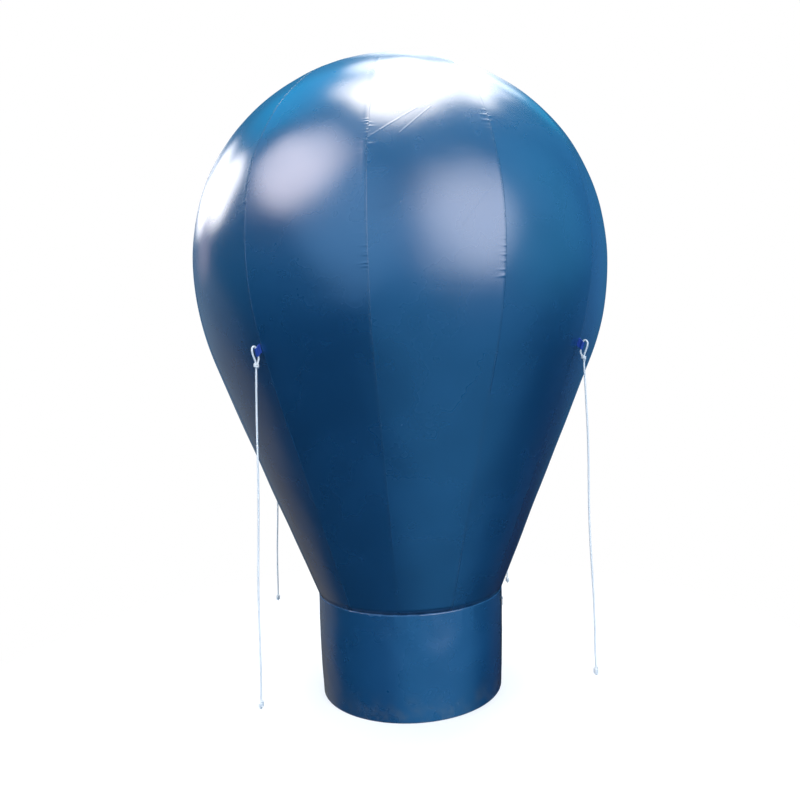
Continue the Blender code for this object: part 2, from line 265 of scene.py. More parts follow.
def calc(tree, operation, *values, clamp=False):
    made = tree.nodes.new("ShaderNodeMath")
    made.operation = operation
    made.use_clamp = clamp
    for socket, value in zip(made.inputs, values):
        wire(tree, value, socket)
    return made.outputs[0]


def vector_calc(tree, operation, *values, output=0):
    made = tree.nodes.new("ShaderNodeVectorMath")
    made.operation = operation
    for socket, value in zip(made.inputs, values):
        wire(tree, value, socket)
    return made.outputs[output]


def scaled_vector(tree, vector, factor):
    made = vector_calc(tree, "SCALE", vector)
    wire(tree, factor, made.node.inputs["Scale"])
    return made


def separate(tree, vector):
    """The X, Y and Z parts of a vector."""
    made = tree.nodes.new("ShaderNodeSeparateXYZ")
    wire(tree, vector, made.inputs[0])
    return made.outputs


def apart(tree, first, second):
    """How far two numbers are from each other."""
    return calc(tree, "ABSOLUTE", calc(tree, "SUBTRACT", first, second))


def fade(tree, value, start, end, low=0.0, high=1.0):
    """Smooth step: low where value is at start, high where it is at end."""
    made = tree.nodes.new("ShaderNodeMapRange")
    made.interpolation_type = "SMOOTHSTEP"
    for socket, number in zip(made.inputs, (value, start, end, low, high)):
        wire(tree, number, socket)
    return made.outputs["Result"]


def noise(tree, place, scale, detail=2.0, roughness=0.5):
    made = tree.nodes.new("ShaderNodeTexNoise")
    wire(tree, place, made.inputs["Vector"])
    made.inputs["Scale"].default_value = scale
    made.inputs["Detail"].default_value = detail
    made.inputs["Roughness"].default_value = roughness
    return made.outputs["Fac"]


def mix_colour(tree, factor, first, second):
    made = tree.nodes.new("ShaderNodeMix")
    made.data_type = "RGBA"
    wire(tree, factor, made.inputs["Factor"])
    wire(tree, first, made.inputs[6])
    wire(tree, second, made.inputs[7])
    return made.outputs[2]


# %% Helpers: node groups and finishes


def new_group(name, inputs, outputs):
    """A shader node group. Inputs are (name, kind, default) and outputs (name, kind)."""
    group = bpy.data.node_groups.new(name, "ShaderNodeTree")
    for label, kind, value in inputs:
        socket = group.interface.new_socket(label, in_out="INPUT", socket_type="NodeSocket" + kind)
        if value is not None:
            socket.default_value = value
    for label, kind in outputs:
        group.interface.new_socket(label, in_out="OUTPUT", socket_type="NodeSocket" + kind)
    start = group.nodes.new("NodeGroupInput")
    end = group.nodes.new("NodeGroupOutput")
    return group, start.outputs, end.inputs


def use_group(tree, group, **values):
    """Places a node group, with its inputs given by their names in lower case."""
    made = tree.nodes.new("ShaderNodeGroup")
    made.node_tree = group
    for name, value in values.items():
        wire(tree, value, made.inputs[name.capitalize()])
    return made.outputs


def new_finish(name, roughness, metallic=0.0):
    """A material with its Principled shader, whose plain numbers are set on the shader itself."""
    material = bpy.data.materials.new(name)
    material.use_nodes = True
    shader = material.node_tree.nodes["Principled BSDF"]
    shader.inputs["Roughness"].default_value = roughness
    shader.inputs["Metallic"].default_value = metallic
    return material, material.node_tree, shader


def raise_by(tree, shader, height):
    """Bump from a height in metres."""
    bump = tree.nodes.new("ShaderNodeBump")
    bump.inputs["Strength"].default_value = 1.0
    bump.inputs["Distance"].default_value = 1.0
    wire(tree, height, bump.inputs["Height"])
    wire(tree, bump.outputs["Normal"], shader.inputs["Normal"])


def read_attribute(tree, name):
    made = tree.nodes.new("ShaderNodeAttribute")
    made.attribute_name = name
    return made


def object_place(tree):
    return tree.nodes.new("ShaderNodeTexCoord").outputs["Object"]


# %% [markdown]
# ## Shared effects
# Cloth, webbing and zip tape are woven, so the weave is one group with its thread size and depth as
# inputs. Folds from storage are scattered straight lines: a Voronoi net would close them into cells, so
# the cloth is ruled into strips instead, and white noise picks where in a strip a short line lies.
# Stitches are dashes along a line, and grime gathers low down and in patches.

# %% Effect: weave
weave, given, gives = new_group(
    "weave",
    [("Place", "Vector", None), ("Thread", "Float", 0.0006), ("Depth", "Float", 0.00005)],
    [("Height", "Float"), ("Gap", "Float")],
)
threads_apart = calc(weave, "DIVIDE", math.pi, given["Thread"])
x, y, _ = separate(weave, scaled_vector(weave, given["Place"], threads_apart))
over = calc(weave, "MULTIPLY", calc(weave, "SINE", x), calc(weave, "SINE", y))
wire(weave, calc(weave, "MULTIPLY", over, given["Depth"]), gives["Height"])
# Gap marks where threads part: the webbing and the zip tape paint shade there
wire(weave, calc(weave, "SUBTRACT", 1.0, calc(weave, "ABSOLUTE", over), clamp=True), gives["Gap"])

# %% Effect: fold lines
fold_lines, given, gives = new_group(
    "fold_lines",
    [
        ("Place", "Vector", None),
        ("Turn", "Float", 0.0),
        ("Spacing", "Float", 0.10),
        ("Length", "Float", 0.16),
        ("Width", "Float", 0.003),
        ("Share", "Float", 0.4),
    ],
    [("Line", "Float")],
)


def random_at(tree, *numbers):
    """A random number from 0 to 1 that belongs to up to three whole numbers."""
    joined = tree.nodes.new("ShaderNodeCombineXYZ")
    for socket, number in zip(joined.inputs, numbers):
        wire(tree, number, socket)
    made = tree.nodes.new("ShaderNodeTexWhiteNoise")
    wire(tree, joined.outputs[0], made.inputs["Vector"])
    return made.outputs["Value"]


bend = noise(fold_lines, given["Place"], 8.0).node.outputs["Color"]
centred = vector_calc(fold_lines, "SUBTRACT", bend, (0.5, 0.5, 0.5))
pushed = vector_calc(fold_lines, "MULTIPLY_ADD", centred, (0.03, 0.03, 0.0), given["Place"])
swing = fold_lines.nodes.new("ShaderNodeVectorRotate")
swing.rotation_type = "Z_AXIS"
wire(fold_lines, pushed, swing.inputs["Vector"])
wire(fold_lines, given["Turn"], swing.inputs["Angle"])
across, along, panel_number = separate(fold_lines, swing.outputs[0])
strip = calc(fold_lines, "DIVIDE", across, given["Spacing"])
strip_number = calc(fold_lines, "FLOOR", strip)
chance = random_at(fold_lines, strip_number, panel_number)
line_place = calc(fold_lines, "MULTIPLY_ADD", chance, 0.6, 0.2)
off_line = apart(fold_lines, calc(fold_lines, "FRACT", strip), line_place)
off_line = calc(fold_lines, "MULTIPLY", off_line, given["Spacing"])
row = calc(fold_lines, "DIVIDE", along, given["Length"])
row = calc(fold_lines, "MULTIPLY_ADD", chance, 17.0, row)
row_chance = random_at(fold_lines, strip_number, panel_number, calc(fold_lines, "FLOOR", row))
present = calc(fold_lines, "LESS_THAN", row_chance, given["Share"])
ends = fade(fold_lines, apart(fold_lines, calc(fold_lines, "FRACT", row), 0.5), 0.5, 0.2)
line = fade(fold_lines, calc(fold_lines, "DIVIDE", off_line, given["Width"]), 1.0, 0.0)
shown = calc(fold_lines, "MULTIPLY", calc(fold_lines, "MULTIPLY", line, ends), present)
wire(fold_lines, shown, gives["Line"])

# %% Effect: one pressed line
pressed_line, given, gives = new_group(
    "pressed_line",
    [
        ("Place", "Vector", None),
        ("Start", "Vector", None),
        ("End", "Vector", None),
        ("Width", "Float", 0.004),
        ("Depth", "Float", 0.0006),
    ],
    [("Height", "Float")],
)
run = vector_calc(pressed_line, "SUBTRACT", given["End"], given["Start"])
away = vector_calc(pressed_line, "SUBTRACT", given["Place"], given["Start"])
along = calc(
    pressed_line,
    "DIVIDE",
    vector_calc(pressed_line, "DOT_PRODUCT", away, run, output=1),
    vector_calc(pressed_line, "DOT_PRODUCT", run, run, output=1),
    clamp=True,
)
nearest = scaled_vector(pressed_line, run, along)
distance = vector_calc(pressed_line, "DISTANCE", away, nearest, output=1)
ridge = fade(pressed_line, distance, 0.0, given["Width"], 1.0, 0.0)
wire(pressed_line, calc(pressed_line, "MULTIPLY", ridge, given["Depth"]), gives["Height"])

# %% Effect: a row of stitches
stitch_row, given, gives = new_group(
    "stitch_row",
    [
        ("Across", "Float", None),
        ("Along", "Float", None),
        ("Line", "Float", 0.0),
        ("Pitch", "Float", 0.004),
        ("Width", "Float", 0.0012),
    ],
    [("Thread", "Float")],
)
off_line = apart(stitch_row, given["Across"], given["Line"])
on_row = fade(stitch_row, calc(stitch_row, "DIVIDE", off_line, given["Width"]), 0.3, 0.6, 1.0, 0.0)
step = calc(stitch_row, "FRACT", calc(stitch_row, "DIVIDE", given["Along"], given["Pitch"]))
dash = fade(stitch_row, apart(stitch_row, step, 0.5), 0.30, 0.42, 1.0, 0.0)
wire(stitch_row, calc(stitch_row, "MULTIPLY", on_row, dash), gives["Thread"])

# %% Effect: grime
grime, given, gives = new_group(
    "grime",
    [
        ("Place", "Vector", None),
        ("Low", "Float", 0.0),
        ("High", "Float", 0.25),
        ("Amount", "Float", 0.4),
    ],
    [("Mask", "Float")],
)
low_down = fade(grime, separate(grime, given["Place"])["Z"], given["High"], given["Low"])
patches = fade(grime, noise(grime, given["Place"], 14.0, 5.0, 0.65), 0.40, 0.72)
specks = fade(grime, noise(grime, given["Place"], 240.0, 2.0), 0.66, 0.74)
dirty = calc(grime, "MULTIPLY", calc(grime, "MAXIMUM", patches, specks), low_down)
wire(grime, calc(grime, "MULTIPLY", dirty, given["Amount"]), gives["Mask"])
print("effects:", [group.name for group in bpy.data.node_groups])

# %% [markdown]
# ## White rope
# The tether is an 8 mm braided cord. The braid is two sets of strands that cross, so its height is a
# lattice of small diamonds: the product of two sines, one along each set. A painted colour would look
# flat from close by, so painted shade makes the gaps between the strands a little darker and greyer.

# %% Finish: braided white rope
STRAND = 0.00314  # metres between neighbouring strands, eight to the girth
ROPE_WHITE = (0.95, 0.93, 0.89, 1.0)
# colour of the painted shade in the gaps between the strands
ROPE_GAP_SHADE = (0.62, 0.60, 0.56, 1.0)
ROPE_DUST = (0.66, 0.63, 0.57, 1.0)


def braided_rope():
    material, tree, shader = new_finish("braided_white_rope", 0.72)
    along, girth, _ = separate(tree, tree.nodes.new("ShaderNodeUVMap").outputs["UV"])
    strands = []
    for operation in ("ADD", "SUBTRACT"):
        turned = calc(tree, operation, along, girth)
        wave = calc(tree, "SINE", calc(tree, "MULTIPLY", turned, math.pi / STRAND))
        strands.append(calc(tree, "ABSOLUTE", wave))
    lattice = calc(tree, "MULTIPLY", *strands)
    hair = noise(tree, object_place(tree), 900.0, 3.0)
    height = calc(tree, "MULTIPLY_ADD", lattice, 0.0007, calc(tree, "MULTIPLY", hair, 0.00015))
    raise_by(tree, shader, height)
    dust = fade(tree, noise(tree, object_place(tree), 6.0, 4.0), 0.35, 0.75)
    # painted shade: the gaps between the strands are coloured darker and greyer
    white_with_gap_shade = mix_colour(tree, fade(tree, lattice, 0.0, 0.5), ROPE_GAP_SHADE, ROPE_WHITE)
    colour = mix_colour(tree, calc(tree, "MULTIPLY", dust, 0.25), white_with_gap_shade, ROPE_DUST)
    wire(tree, colour, shader.inputs["Base Color"])
    shader.inputs["Sheen Weight"].default_value = 0.3
    return material


rope_finish = braided_rope()
print("rope finish nodes:", len(rope_finish.node_tree.nodes))

# %% [markdown]
# ## Tether ropes
# A tether is threaded through its webbing loop and tied back round itself, then hangs plumb. Its length
# never changes, so the route is settled first, point by point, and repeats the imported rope. The long
# strand starts in the eye, bends over the loop's top edge and hangs down. A shorter strand leaves the
# eye's lower end, winds about twice round the long one and ends in a tail: those turns are the knot.

# %% Sizes of a rope and its route
LOOP_EVERY = 3
LOOP_HEIGHT = 1.696
LOOP_REACH = 0.023
LOOP_SAG = 0.008
WEBBING_WIDTH = 0.038
KNOT_OUTWARD = 0.005
KNOT_DROP = 0.047
KNOT_HEIGHT = 0.020
ROPE_DIAMETER = 0.008
GAP = 0.0003
END_LENGTH = 0.034  # rope in the stopper knot and the short end below it
KNOT_INSET = 0.001  # how far the knot's winding is set in and down
STOPPER_DROP = 0.004  # from the end of the hanging part to the stopper's winding

# Windings: turns, start in turns from outward, radius and pitch in metres
KNOT_WINDING = (1.9, 0.5, 0.0080, 0.0078)
STOPPER_WINDING = (3, 0.1, 0.0078, 0.0080)

# The rope below its knot: (outward, sideways, down) in metres
ROPE_ROUTE = [
    (0.0000, 0.0000, 0.000),
    (0.0000, 0.0000, 0.030),
    (0.0010, 0.0005, 0.090),
    (0.0022, 0.0018, 0.180),
    (0.0030, 0.0036, 0.270),
    (0.0026, 0.0048, 0.360),
    (0.0012, 0.0042, 0.450),
    (-0.0006, 0.0020, 0.540),
    (-0.0018, -0.0010, 0.630),
    (-0.0016, -0.0034, 0.720),
    (-0.0002, -0.0044, 0.810),
    (0.0016, -0.0034, 0.900),
    (0.0028, -0.0008, 0.990),
    (0.0026, 0.0020, 1.080),
    (0.0012, 0.0034, 1.170),
    (0.0002, 0.0030, 1.250),
    (0.0000, 0.0026, 1.300),
    (0.0000, 0.0026, 1.330),
]
print("route below the knot:", len(ROPE_ROUTE), "points,", ROPE_ROUTE[-1][2], "m down")

# %% Frames at a seam


def down(distance):
    return Vector((0.0, 0.0, -distance))


def rope_angle(number):
    """Angle in degrees of the seam that holds the rope with this number, from 1 to 4."""
    return FIRST_SEAM + (number - 1) * LOOP_EVERY * GORE_SWEEP


def seam_frame(angle):
    """Seam point, outward normal, side direction and upward seam direction at a loop."""
    radius, height, radial, upward = on_skin(level_of(LOOP_HEIGHT))
    turn = Matrix.Rotation(math.radians(angle), 3, "Z")
    normal = turn @ Vector((radial, 0.0, upward))
    side = turn @ Vector((0.0, 1.0, 0.0))
    return turn @ Vector((radius, 0.0, height)), normal, side, normal.cross(side)


def rope_frame(angle):
    """Middle of the eye, upward seam direction, and the level outward and sideways directions."""
    point, normal, _, up = seam_frame(angle)
    turn = math.radians(angle)
    out = Vector((math.cos(turn), math.sin(turn), 0.0))
    side = Vector((-math.sin(turn), math.cos(turn), 0.0))
    return point + normal * LOOP_REACH - up * LOOP_SAG, up, out, side


# %% Points of the two strands


def hanging_points(angle):
    """The long strand: out of the eye, over the loop, down through the knot to the stopper."""
    eye, up, out, side = rope_frame(angle)
    half = WEBBING_WIDTH / 2
    in_eye = [eye + up * (half * share) for share in (0.0, 0.5, 1.0, 1.14)]
    over = [(0.0150, 0.0222), (0.0208, 0.0198), (0.0245, 0.0140), (0.0252, 0.0060), (0.0238, -0.0030)]
    under = [(0.0205, -0.0140), (0.0130, -0.0290), (0.0065, -0.0450), (KNOT_OUTWARD, -0.0580)]
    outside = [eye + out * outward + down(-rise) for outward, rise in over + under]
    start = eye + out * KNOT_OUTWARD + down(KNOT_DROP + KNOT_HEIGHT + GAP)
    hanging = [start + out * outward + side * aside + down(drop) for outward, aside, drop in ROPE_ROUTE]
    return in_eye + outside + hanging + [hanging[-1] + down(END_LENGTH)]


def coil(centre, out, side, turns, start, radius, pitch):
    """Points of a winding that goes down round an upright line; start is in turns from outward."""
    count = round(turns * 10)
    points = []
    for i in range(count + 1):
        angle = math.tau * (start + turns * i / count)
        round_it = out * (radius * math.cos(angle)) + side * (radius * math.sin(angle))
        points.append(centre + round_it + down(pitch * turns * i / count))
    return points


def returning_points(angle):
    """The short strand: out of the eye's lower end, about two turns round the long one, and its tail."""
    eye, up, out, side = rope_frame(angle)
    half = WEBBING_WIDTH / 2
    in_eye = [eye - up * (half * share) for share in (0.0, 0.5, 1.0, 1.28)]
    strand = [eye + out * outward + down(drop) for outward, drop in ((-0.0088, 0.0310), (-0.0058, 0.0400))]
    top = eye + out * (KNOT_OUTWARD - KNOT_INSET) + down(KNOT_DROP + KNOT_INSET)
    turns = coil(top, out, side, *KNOT_WINDING)
    tail = [turns[-1] + out * outward + down(drop) for outward, drop in ((0.006, 0.001), (0.013, 0.004))]
    return in_eye + strand + turns + tail


# %% Ropes, their returning strands with the knots, and the stopper knots
ROPE_STEP = 0.004
KNOT_STEP = 0.0016

for number in range(1, GORES // LOOP_EVERY + 1):
    angle = rope_angle(number)
    eye, _, out, side = rope_frame(angle)
    path = smooth_path(hanging_points(angle), ROPE_STEP)
    rope = add_piece(
        f"tether_rope_{number}",
        tube_mesh("tether_rope", path, ROPE_DIAMETER / 2),
        rope_finish,
        "white_rope",
        f"rope_{number}",
        f"rope_bight_{number}",
    )
    knot_path = smooth_path(returning_points(angle), KNOT_STEP)
    knot = add_piece(
        f"tether_knot_{number}",
        tube_mesh("tether_knot", knot_path, ROPE_DIAMETER / 2 - GAP),
        rope_finish,
        "white_rope",
        f"rope_knot_{number}",
    )
    stopper_top = Vector(path[-1]) + down(STOPPER_DROP - END_LENGTH)
    winding = coil(stopper_top, out, side, *STOPPER_WINDING)
    stopper = add_piece(
        f"stopper_knot_{number}",
        tube_mesh("stopper_knot", smooth_path(winding, KNOT_STEP), ROPE_DIAMETER / 2 - GAP),
        rope_finish,
        "white_rope",
        f"rope_end_knot_{number}",
    )
    for piece in (rope, knot, stopper):
        piece.visible_glossy = False  # the cloth's gloss is too soft to mirror a rope

# %% [markdown]
# ## Blue coated cloth
# The envelope is woven polyester with a shiny coating, so the lamps show in it as soft patches. Most of
# what the eye reads on it is relief: threads, a fine net of storage creases, long pressed lines and the
# needle rows beside the seams. All of it is bump on one blue, which drifts a little paler and duller
# from place to place. Positions come from an attribute in metres: across the panel, up it, and the
# panel's number, so the pattern follows the cloth and stops at the seams.

# %% Colours and lines of the cloth
FABRIC_BLUE = (0.0060, 0.049, 0.118, 1.0)
FABRIC_PALE = (0.0078, 0.058, 0.138, 1.0)
DUST_COLOUR = (0.105, 0.110, 0.110, 1.0)
COAT_ROUGHNESS = 0.17

# Long pressed lines: panel number, then start and end as (across, up from the neck seam) in metres
PRESSED_LINES = [
    (2, (-0.202, 2.172), (-0.046, 2.291)),
    (2, (-0.251, 2.137), (-0.123, 2.229)),
    (2, (-0.124, 2.156), (0.010, 2.299)),
    (2, (-0.290, 1.819), (-0.139, 1.857)),
    (2, (0.107, 1.770), (0.209, 1.898)),
    (2, (-0.216, 1.836), (-0.127, 1.865)),
]
LINE_WIDTH = 0.006
LINE_DEPTH = 0.0005

# Scattered folds: turn in radians, strip width, length, line width and depth in metres, share shown
FOLDS = [
    (0.35, 0.110, 0.15, 0.0028, 0.00012, 0.16),
    (1.10, 0.034, 0.040, 0.0018, 0.00002, 0.30),
    (-0.45, 0.038, 0.034, 0.0018, 0.00002, 0.30),
]
SEAM_ROWS = (-0.0025, -0.0075)  # needle rows, on the lap beyond the seam
THREAD_BLUE = (0.004, 0.022, 0.060, 1.0)


# %% Finish: blue coated cloth


def coated_cloth(name, stitched_lines, lines=(), grime_top=0.0):
    material, tree, shader = new_finish(name, 0.30)
    shader.inputs["Specular IOR Level"].default_value = 1.0
    shader.inputs["Coat Weight"].default_value = 1.0
    shader.inputs["Coat Roughness"].default_value = COAT_ROUGHNESS
    shader.inputs["Coat IOR"].default_value = 1.8
    place = read_attribute(tree, "cloth_place").outputs["Vector"]
    seam = read_attribute(tree, "seam_distance").outputs["Fac"]
    along = separate(tree, place)["Y"]
    threads = use_group(tree, weave, place=place, thread=0.0007, depth=0.000002)
    drift = calc(tree, "MULTIPLY", noise(tree, place, 14.0, 2.0), 0.0006)
    height = calc(tree, "ADD", threads["Height"], drift)
    for turn, spacing, length, width, depth, share in FOLDS:
        lines_here = use_group(
            tree, fold_lines, place=place, turn=turn, spacing=spacing, length=length, width=width, share=share
        )
        height = calc(tree, "MULTIPLY_ADD", lines_here["Line"], -depth, height)
    for panel, start, end in lines:
        pressed = use_group(
            tree,
            pressed_line,
            place=place,
            start=(*start, panel),
            end=(*end, panel),
            width=LINE_WIDTH,
            depth=LINE_DEPTH,
        )
        height = calc(tree, "ADD", height, pressed["Height"])
    thread_mask = 0.0
    for row in stitched_lines:
        stitches = use_group(tree, stitch_row, across=seam, along=along, line=row)
        height = calc(tree, "MULTIPLY_ADD", stitches["Thread"], 0.0004, height)
        thread_mask = calc(tree, "MAXIMUM", stitches["Thread"], thread_mask)
    raise_by(tree, shader, height)
    tone = fade(tree, noise(tree, place, 2.6, 4.0, 0.6), 0.3, 0.7)
    colour = mix_colour(tree, tone, FABRIC_BLUE, FABRIC_PALE)
    colour = mix_colour(tree, thread_mask, colour, THREAD_BLUE)
    if grime_top:
        dirt = use_group(tree, grime, place=object_place(tree), low=0.0, high=grime_top, amount=0.45)
        colour = mix_colour(tree, dirt["Mask"], colour, DUST_COLOUR)
    wire(tree, colour, shader.inputs["Base Color"])
    wire(tree, calc(tree, "MULTIPLY_ADD", tone, 0.04, 0.25), shader.inputs["Roughness"])
    return material


gore_finish = coated_cloth("blue_coated_cloth", SEAM_ROWS, PRESSED_LINES)
print("cloth finish nodes:", len(gore_finish.node_tree.nodes))

# %% [markdown]
# ## The gores
# A gore is a long panel of cloth, cut wide at the belly and narrow at the ends. Its two long edges are
# sewn to its neighbours, one lapped over the other, and the tight threads gather small puckers beside
# the seam. Between the seams the pressure pulls the cloth nearly straight across, so the belly is a
# little flatter there than a true circle. A flat grid wrapped round the profile gives all of this: its
# columns crowd towards the seams and its rows lie closest on the shoulder, where the puckers show.

# %% Puckers beside the seams
LAP = 0.010
LAP_RISE = 0.0005
LAP_RAMP = 0.008  # the lapped edge rises over this length
CLOTH = 0.0007  # thickness of the sheet
COLUMNS = 28
PUCKER_WIDTH = 0.0034
PUCKER_START = 0.003  # the ridge rises from the seam over this length
EDGE_FADE = 0.30  # the waves fade towards the neck and the crown over this length

# Share of the way from the circle to a straight line between the seams: (height, share)
FLATTENING = [
    (0.5, 0.03),
    (1.45, 0.05),
    (1.90, 0.22),
    (2.45, 0.22),
    (2.75, 0.10),
    (3.10, 0.03),
    (3.20, 0.0),
]

# Distance between rows: (length up from the neck seam, step)
ROW_SPACING = [(0.0, 0.030), (1.40, 0.024), (1.50, 0.003), (2.40, 0.003), (2.55, 0.02), (3.5, 0.02)]

# Puckers: seam, side seen from outside (-1 left, 1 right), lowest and highest height, how many, reach
PUCKERS = [
    (0, 1, 2.33, 2.35, 1, 0.022),
    (0, 1, 2.24, 2.26, 1, 0.020),
    (0, -1, 2.20, 2.30, 4, 0.014),
    (1, -1, 2.43, 2.60, 11, 0.016),
    (1, 1, 2.41, 2.59, 11, 0.019),
    (1, 1, 2.465, 2.475, 1, 0.090),
    (1, -1, 2.18, 2.20, 1, 0.034),
    (1, -1, 1.96, 2.12, 9, 0.017),
    (1, 1, 1.97, 2.05, 3, 0.011),
    (2, -1, 2.48, 2.66, 10, 0.017),
    (2, 1, 2.49, 2.65, 9, 0.020),
    (2, -1, 1.93, 2.20, 13, 0.017),
    (2, 1, 1.94, 2.16, 7, 0.012),
]
for seam_number in range(4, GORES):
    PUCKERS.append((seam_number, -1, 2.50, 2.66, 5 + seam_number % 4, 0.017))
    PUCKERS.append((seam_number, 1, 2.12, 2.22, 3 + seam_number % 3, 0.014))
    PUCKERS.append((seam_number, -1, 1.93, 2.05, 5 + seam_number % 2, 0.016))

draws = np.random.default_rng(31)


def scattered_puckers():
    """Each pucker as (seam, side, level, reach, depth, slant)."""
    found = []
    for seam, side, low, high, count, reach in PUCKERS:
        for i in range(count):
            share = (i + draws.uniform(0.05, 0.95)) / count
            level = level_of(low + (high - low) * share)
            depth = draws.uniform(0.0003, 0.0011)
            length = reach * draws.uniform(0.5, 1.4)
            found.append((seam, side, level, length, depth, draws.uniform(-0.4, 0.4)))
    return found


pucker_list = scattered_puckers()
print("puckers:", len(pucker_list))

# %% Waves and rows
WAVE_COUNT = 16
WAVE_SLOPE = 0.0045  # steepness of each wave
waves = []
for _ in range(WAVE_COUNT):
    around = int(draws.integers(-26, 27))
    upward = draws.uniform(3.0, 22.0)
    steepness = math.hypot(around / BELLY_RADIUS, upward)
    waves.append((around, upward, WAVE_SLOPE / steepness, draws.uniform(0.0, math.tau)))


def cloth_levels():
    """Row positions up the cloth, close together where the puckers are."""
    fine = np.linspace(0.0, skin_length[-1], 4000)
    spacing = np.interp(fine, *zip(*ROW_SPACING))
    rows = np.concatenate([[0.0], np.cumsum(np.diff(fine) / spacing[1:])])
    return np.interp(np.linspace(0.0, rows[-1], round(rows[-1]) + 1), rows, fine)


levels = cloth_levels()
print("rows in a gore:", len(levels))

# %% How far puckers and waves lift the cloth


def smoothstep(value, start, end):
    t = np.clip((value - start) / (end - start), 0.0, 1.0)
    return t * t * (3.0 - 2.0 * t)


def wave_height(angle, level):
    total = np.zeros_like(angle)
    for around, upward, height, phase in waves:
        total += height * np.sin(around * angle + upward * level + phase)
    return total


def pucker_height(seam, side, from_seam, level):
    """Ridges that start at the seam and die out over their reach."""
    total = np.zeros_like(level)
    distance = np.abs(from_seam)
    for its_seam, its_side, its_level, reach, depth, slant in pucker_list:
        if (its_seam, its_side) != (seam, side):
            continue
        offset = (level - its_level - slant * distance) / PUCKER_WIDTH
        ridge = depth * np.exp(-(offset**2)) * np.exp(-((distance / reach) ** 2))
        total += ridge * smoothstep(distance, 0.0, PUCKER_START)
    return total


def away_from_edges(level):
    near_neck = smoothstep(level, 0.0, EDGE_FADE)
    near_crown = smoothstep(skin_length[-1] - level, 0.0, EDGE_FADE)
    return near_neck * near_crown


# %% Helpers: wrapping a grid round the axis


def read_points(mesh):
    points = np.empty(len(mesh.vertices) * 3, np.float32)
    mesh.vertices.foreach_get("co", points)
    return points.reshape(-1, 3).astype(float)


def write_points(mesh, points):
    mesh.vertices.foreach_set("co", points.astype(np.float32).ravel())
    mesh.update()


def write_round(mesh, radius, angle, height):
    write_points(mesh, np.stack([radius * np.cos(angle), radius * np.sin(angle), height], 1))


def write_attribute(mesh, name, *values):
    """Keeps a number, or a vector of three, at every point of a mesh."""
    kind, key = ("FLOAT", "value") if len(values) == 1 else ("FLOAT_VECTOR", "vector")
    attribute = mesh.attributes.new(name, kind, "POINT")
    attribute.data.foreach_set(key, np.stack(values, 1).astype(np.float32).ravel())


def flat_grid(name, columns, rows):
    """A grid with shares of its width and height from 0 to 1 as its coordinates."""
    bm = bmesh.new()
    bmesh.ops.create_grid(bm, x_segments=columns, y_segments=rows, size=0.5)
    mesh = mesh_of(bm, name)
    points = read_points(mesh) + 0.5
    return mesh, points[:, 0], points[:, 1]


def at_share(share, values):
    """The value at a share of the way through a list of values."""
    return np.interp(share * (len(values) - 1), np.arange(len(values)), values)


def give_thickness(piece, thickness, offset=-1.0):
    """Thickens a sheet: inwards with an offset of -1, to both sides with 0."""
    wall = piece.modifiers.new("Thickness", "SOLIDIFY")
    wall.thickness = thickness
    wall.offset = offset


# %% Twelve gores


def gore_mesh(index):
    """One gore as an open sheet, its left edge on its own seam and its right edge lapped over the next."""
    mesh, share, rise = flat_grid("gore", COLUMNS, len(levels) - 1)
    crowd = 2.0 * share - 1.0
    crowd = np.sign(crowd) * (1.0 - (1.0 - np.abs(crowd)) ** 2)
    level = at_share(rise, levels)
    radius, height, radial, upward = on_skin(level)
    half = radius * math.radians(GORE_SWEEP / 2)
    across = -half + (crowd + 1.0) / 2.0 * (2.0 * half + LAP)
    within = across / radius
    angle = math.radians(FIRST_SEAM + (index + 0.5) * GORE_SWEEP) + within
    from_left = across + half
    from_right = half - across
    folded = math.radians(GORE_SWEEP / 2) - np.abs(from_right / radius)
    folded = np.where(within > 0.0, folded, within)
    flattening = np.interp(height, *zip(*FLATTENING))
    straight = 1.0 - math.cos(math.radians(GORE_SWEEP / 2)) / np.cos(folded)
    radius_here = radius * (1.0 - flattening * straight)
    raised = LAP_RISE * smoothstep(from_right, LAP_RAMP, 0.0)
    raised += pucker_height(index, 1, from_left, level)
    raised += pucker_height((index + 1) % GORES, -1, from_right, level)
    raised += wave_height(angle, level) * away_from_edges(level)
    write_round(mesh, radius_here + radial * raised, angle, height + upward * raised)
    write_attribute(mesh, "cloth_place", across, level, np.full_like(level, index + 1.0))
    write_attribute(mesh, "seam_distance", np.minimum(from_left, from_right))
    return mesh


for index in range(GORES):
    number = f"{index + 1:02d}"
    gore = add_piece(f"cloth_gore_{number}", gore_mesh(index), gore_finish, "blue_fabric", f"gore_{number}")
    give_thickness(gore, CLOTH)
print("triangles in a gore sheet:", 2 * len(gore.data.polygons))

# %% [markdown]
# ## Crown patch
# Twelve points of cloth would leave a hole at the top, so the maker sews a round patch over them. A
# profile of the patch spun round the axis gives it: its rim lies on the gores and its middle bulges.
# The spin welds its first and last edge, and the doubled points at the pole are merged afterwards.

# %% Crown patch
PATCH_LAP = 0.016
PATCH_STEPS = 96
PATCH_RISE = 0.0012  # how high the patch lies, and how much more it bulges
RIM_RISE = 0.0004
RIM_SWEEP = 0.02  # radians of the dome in the rim's four close rows


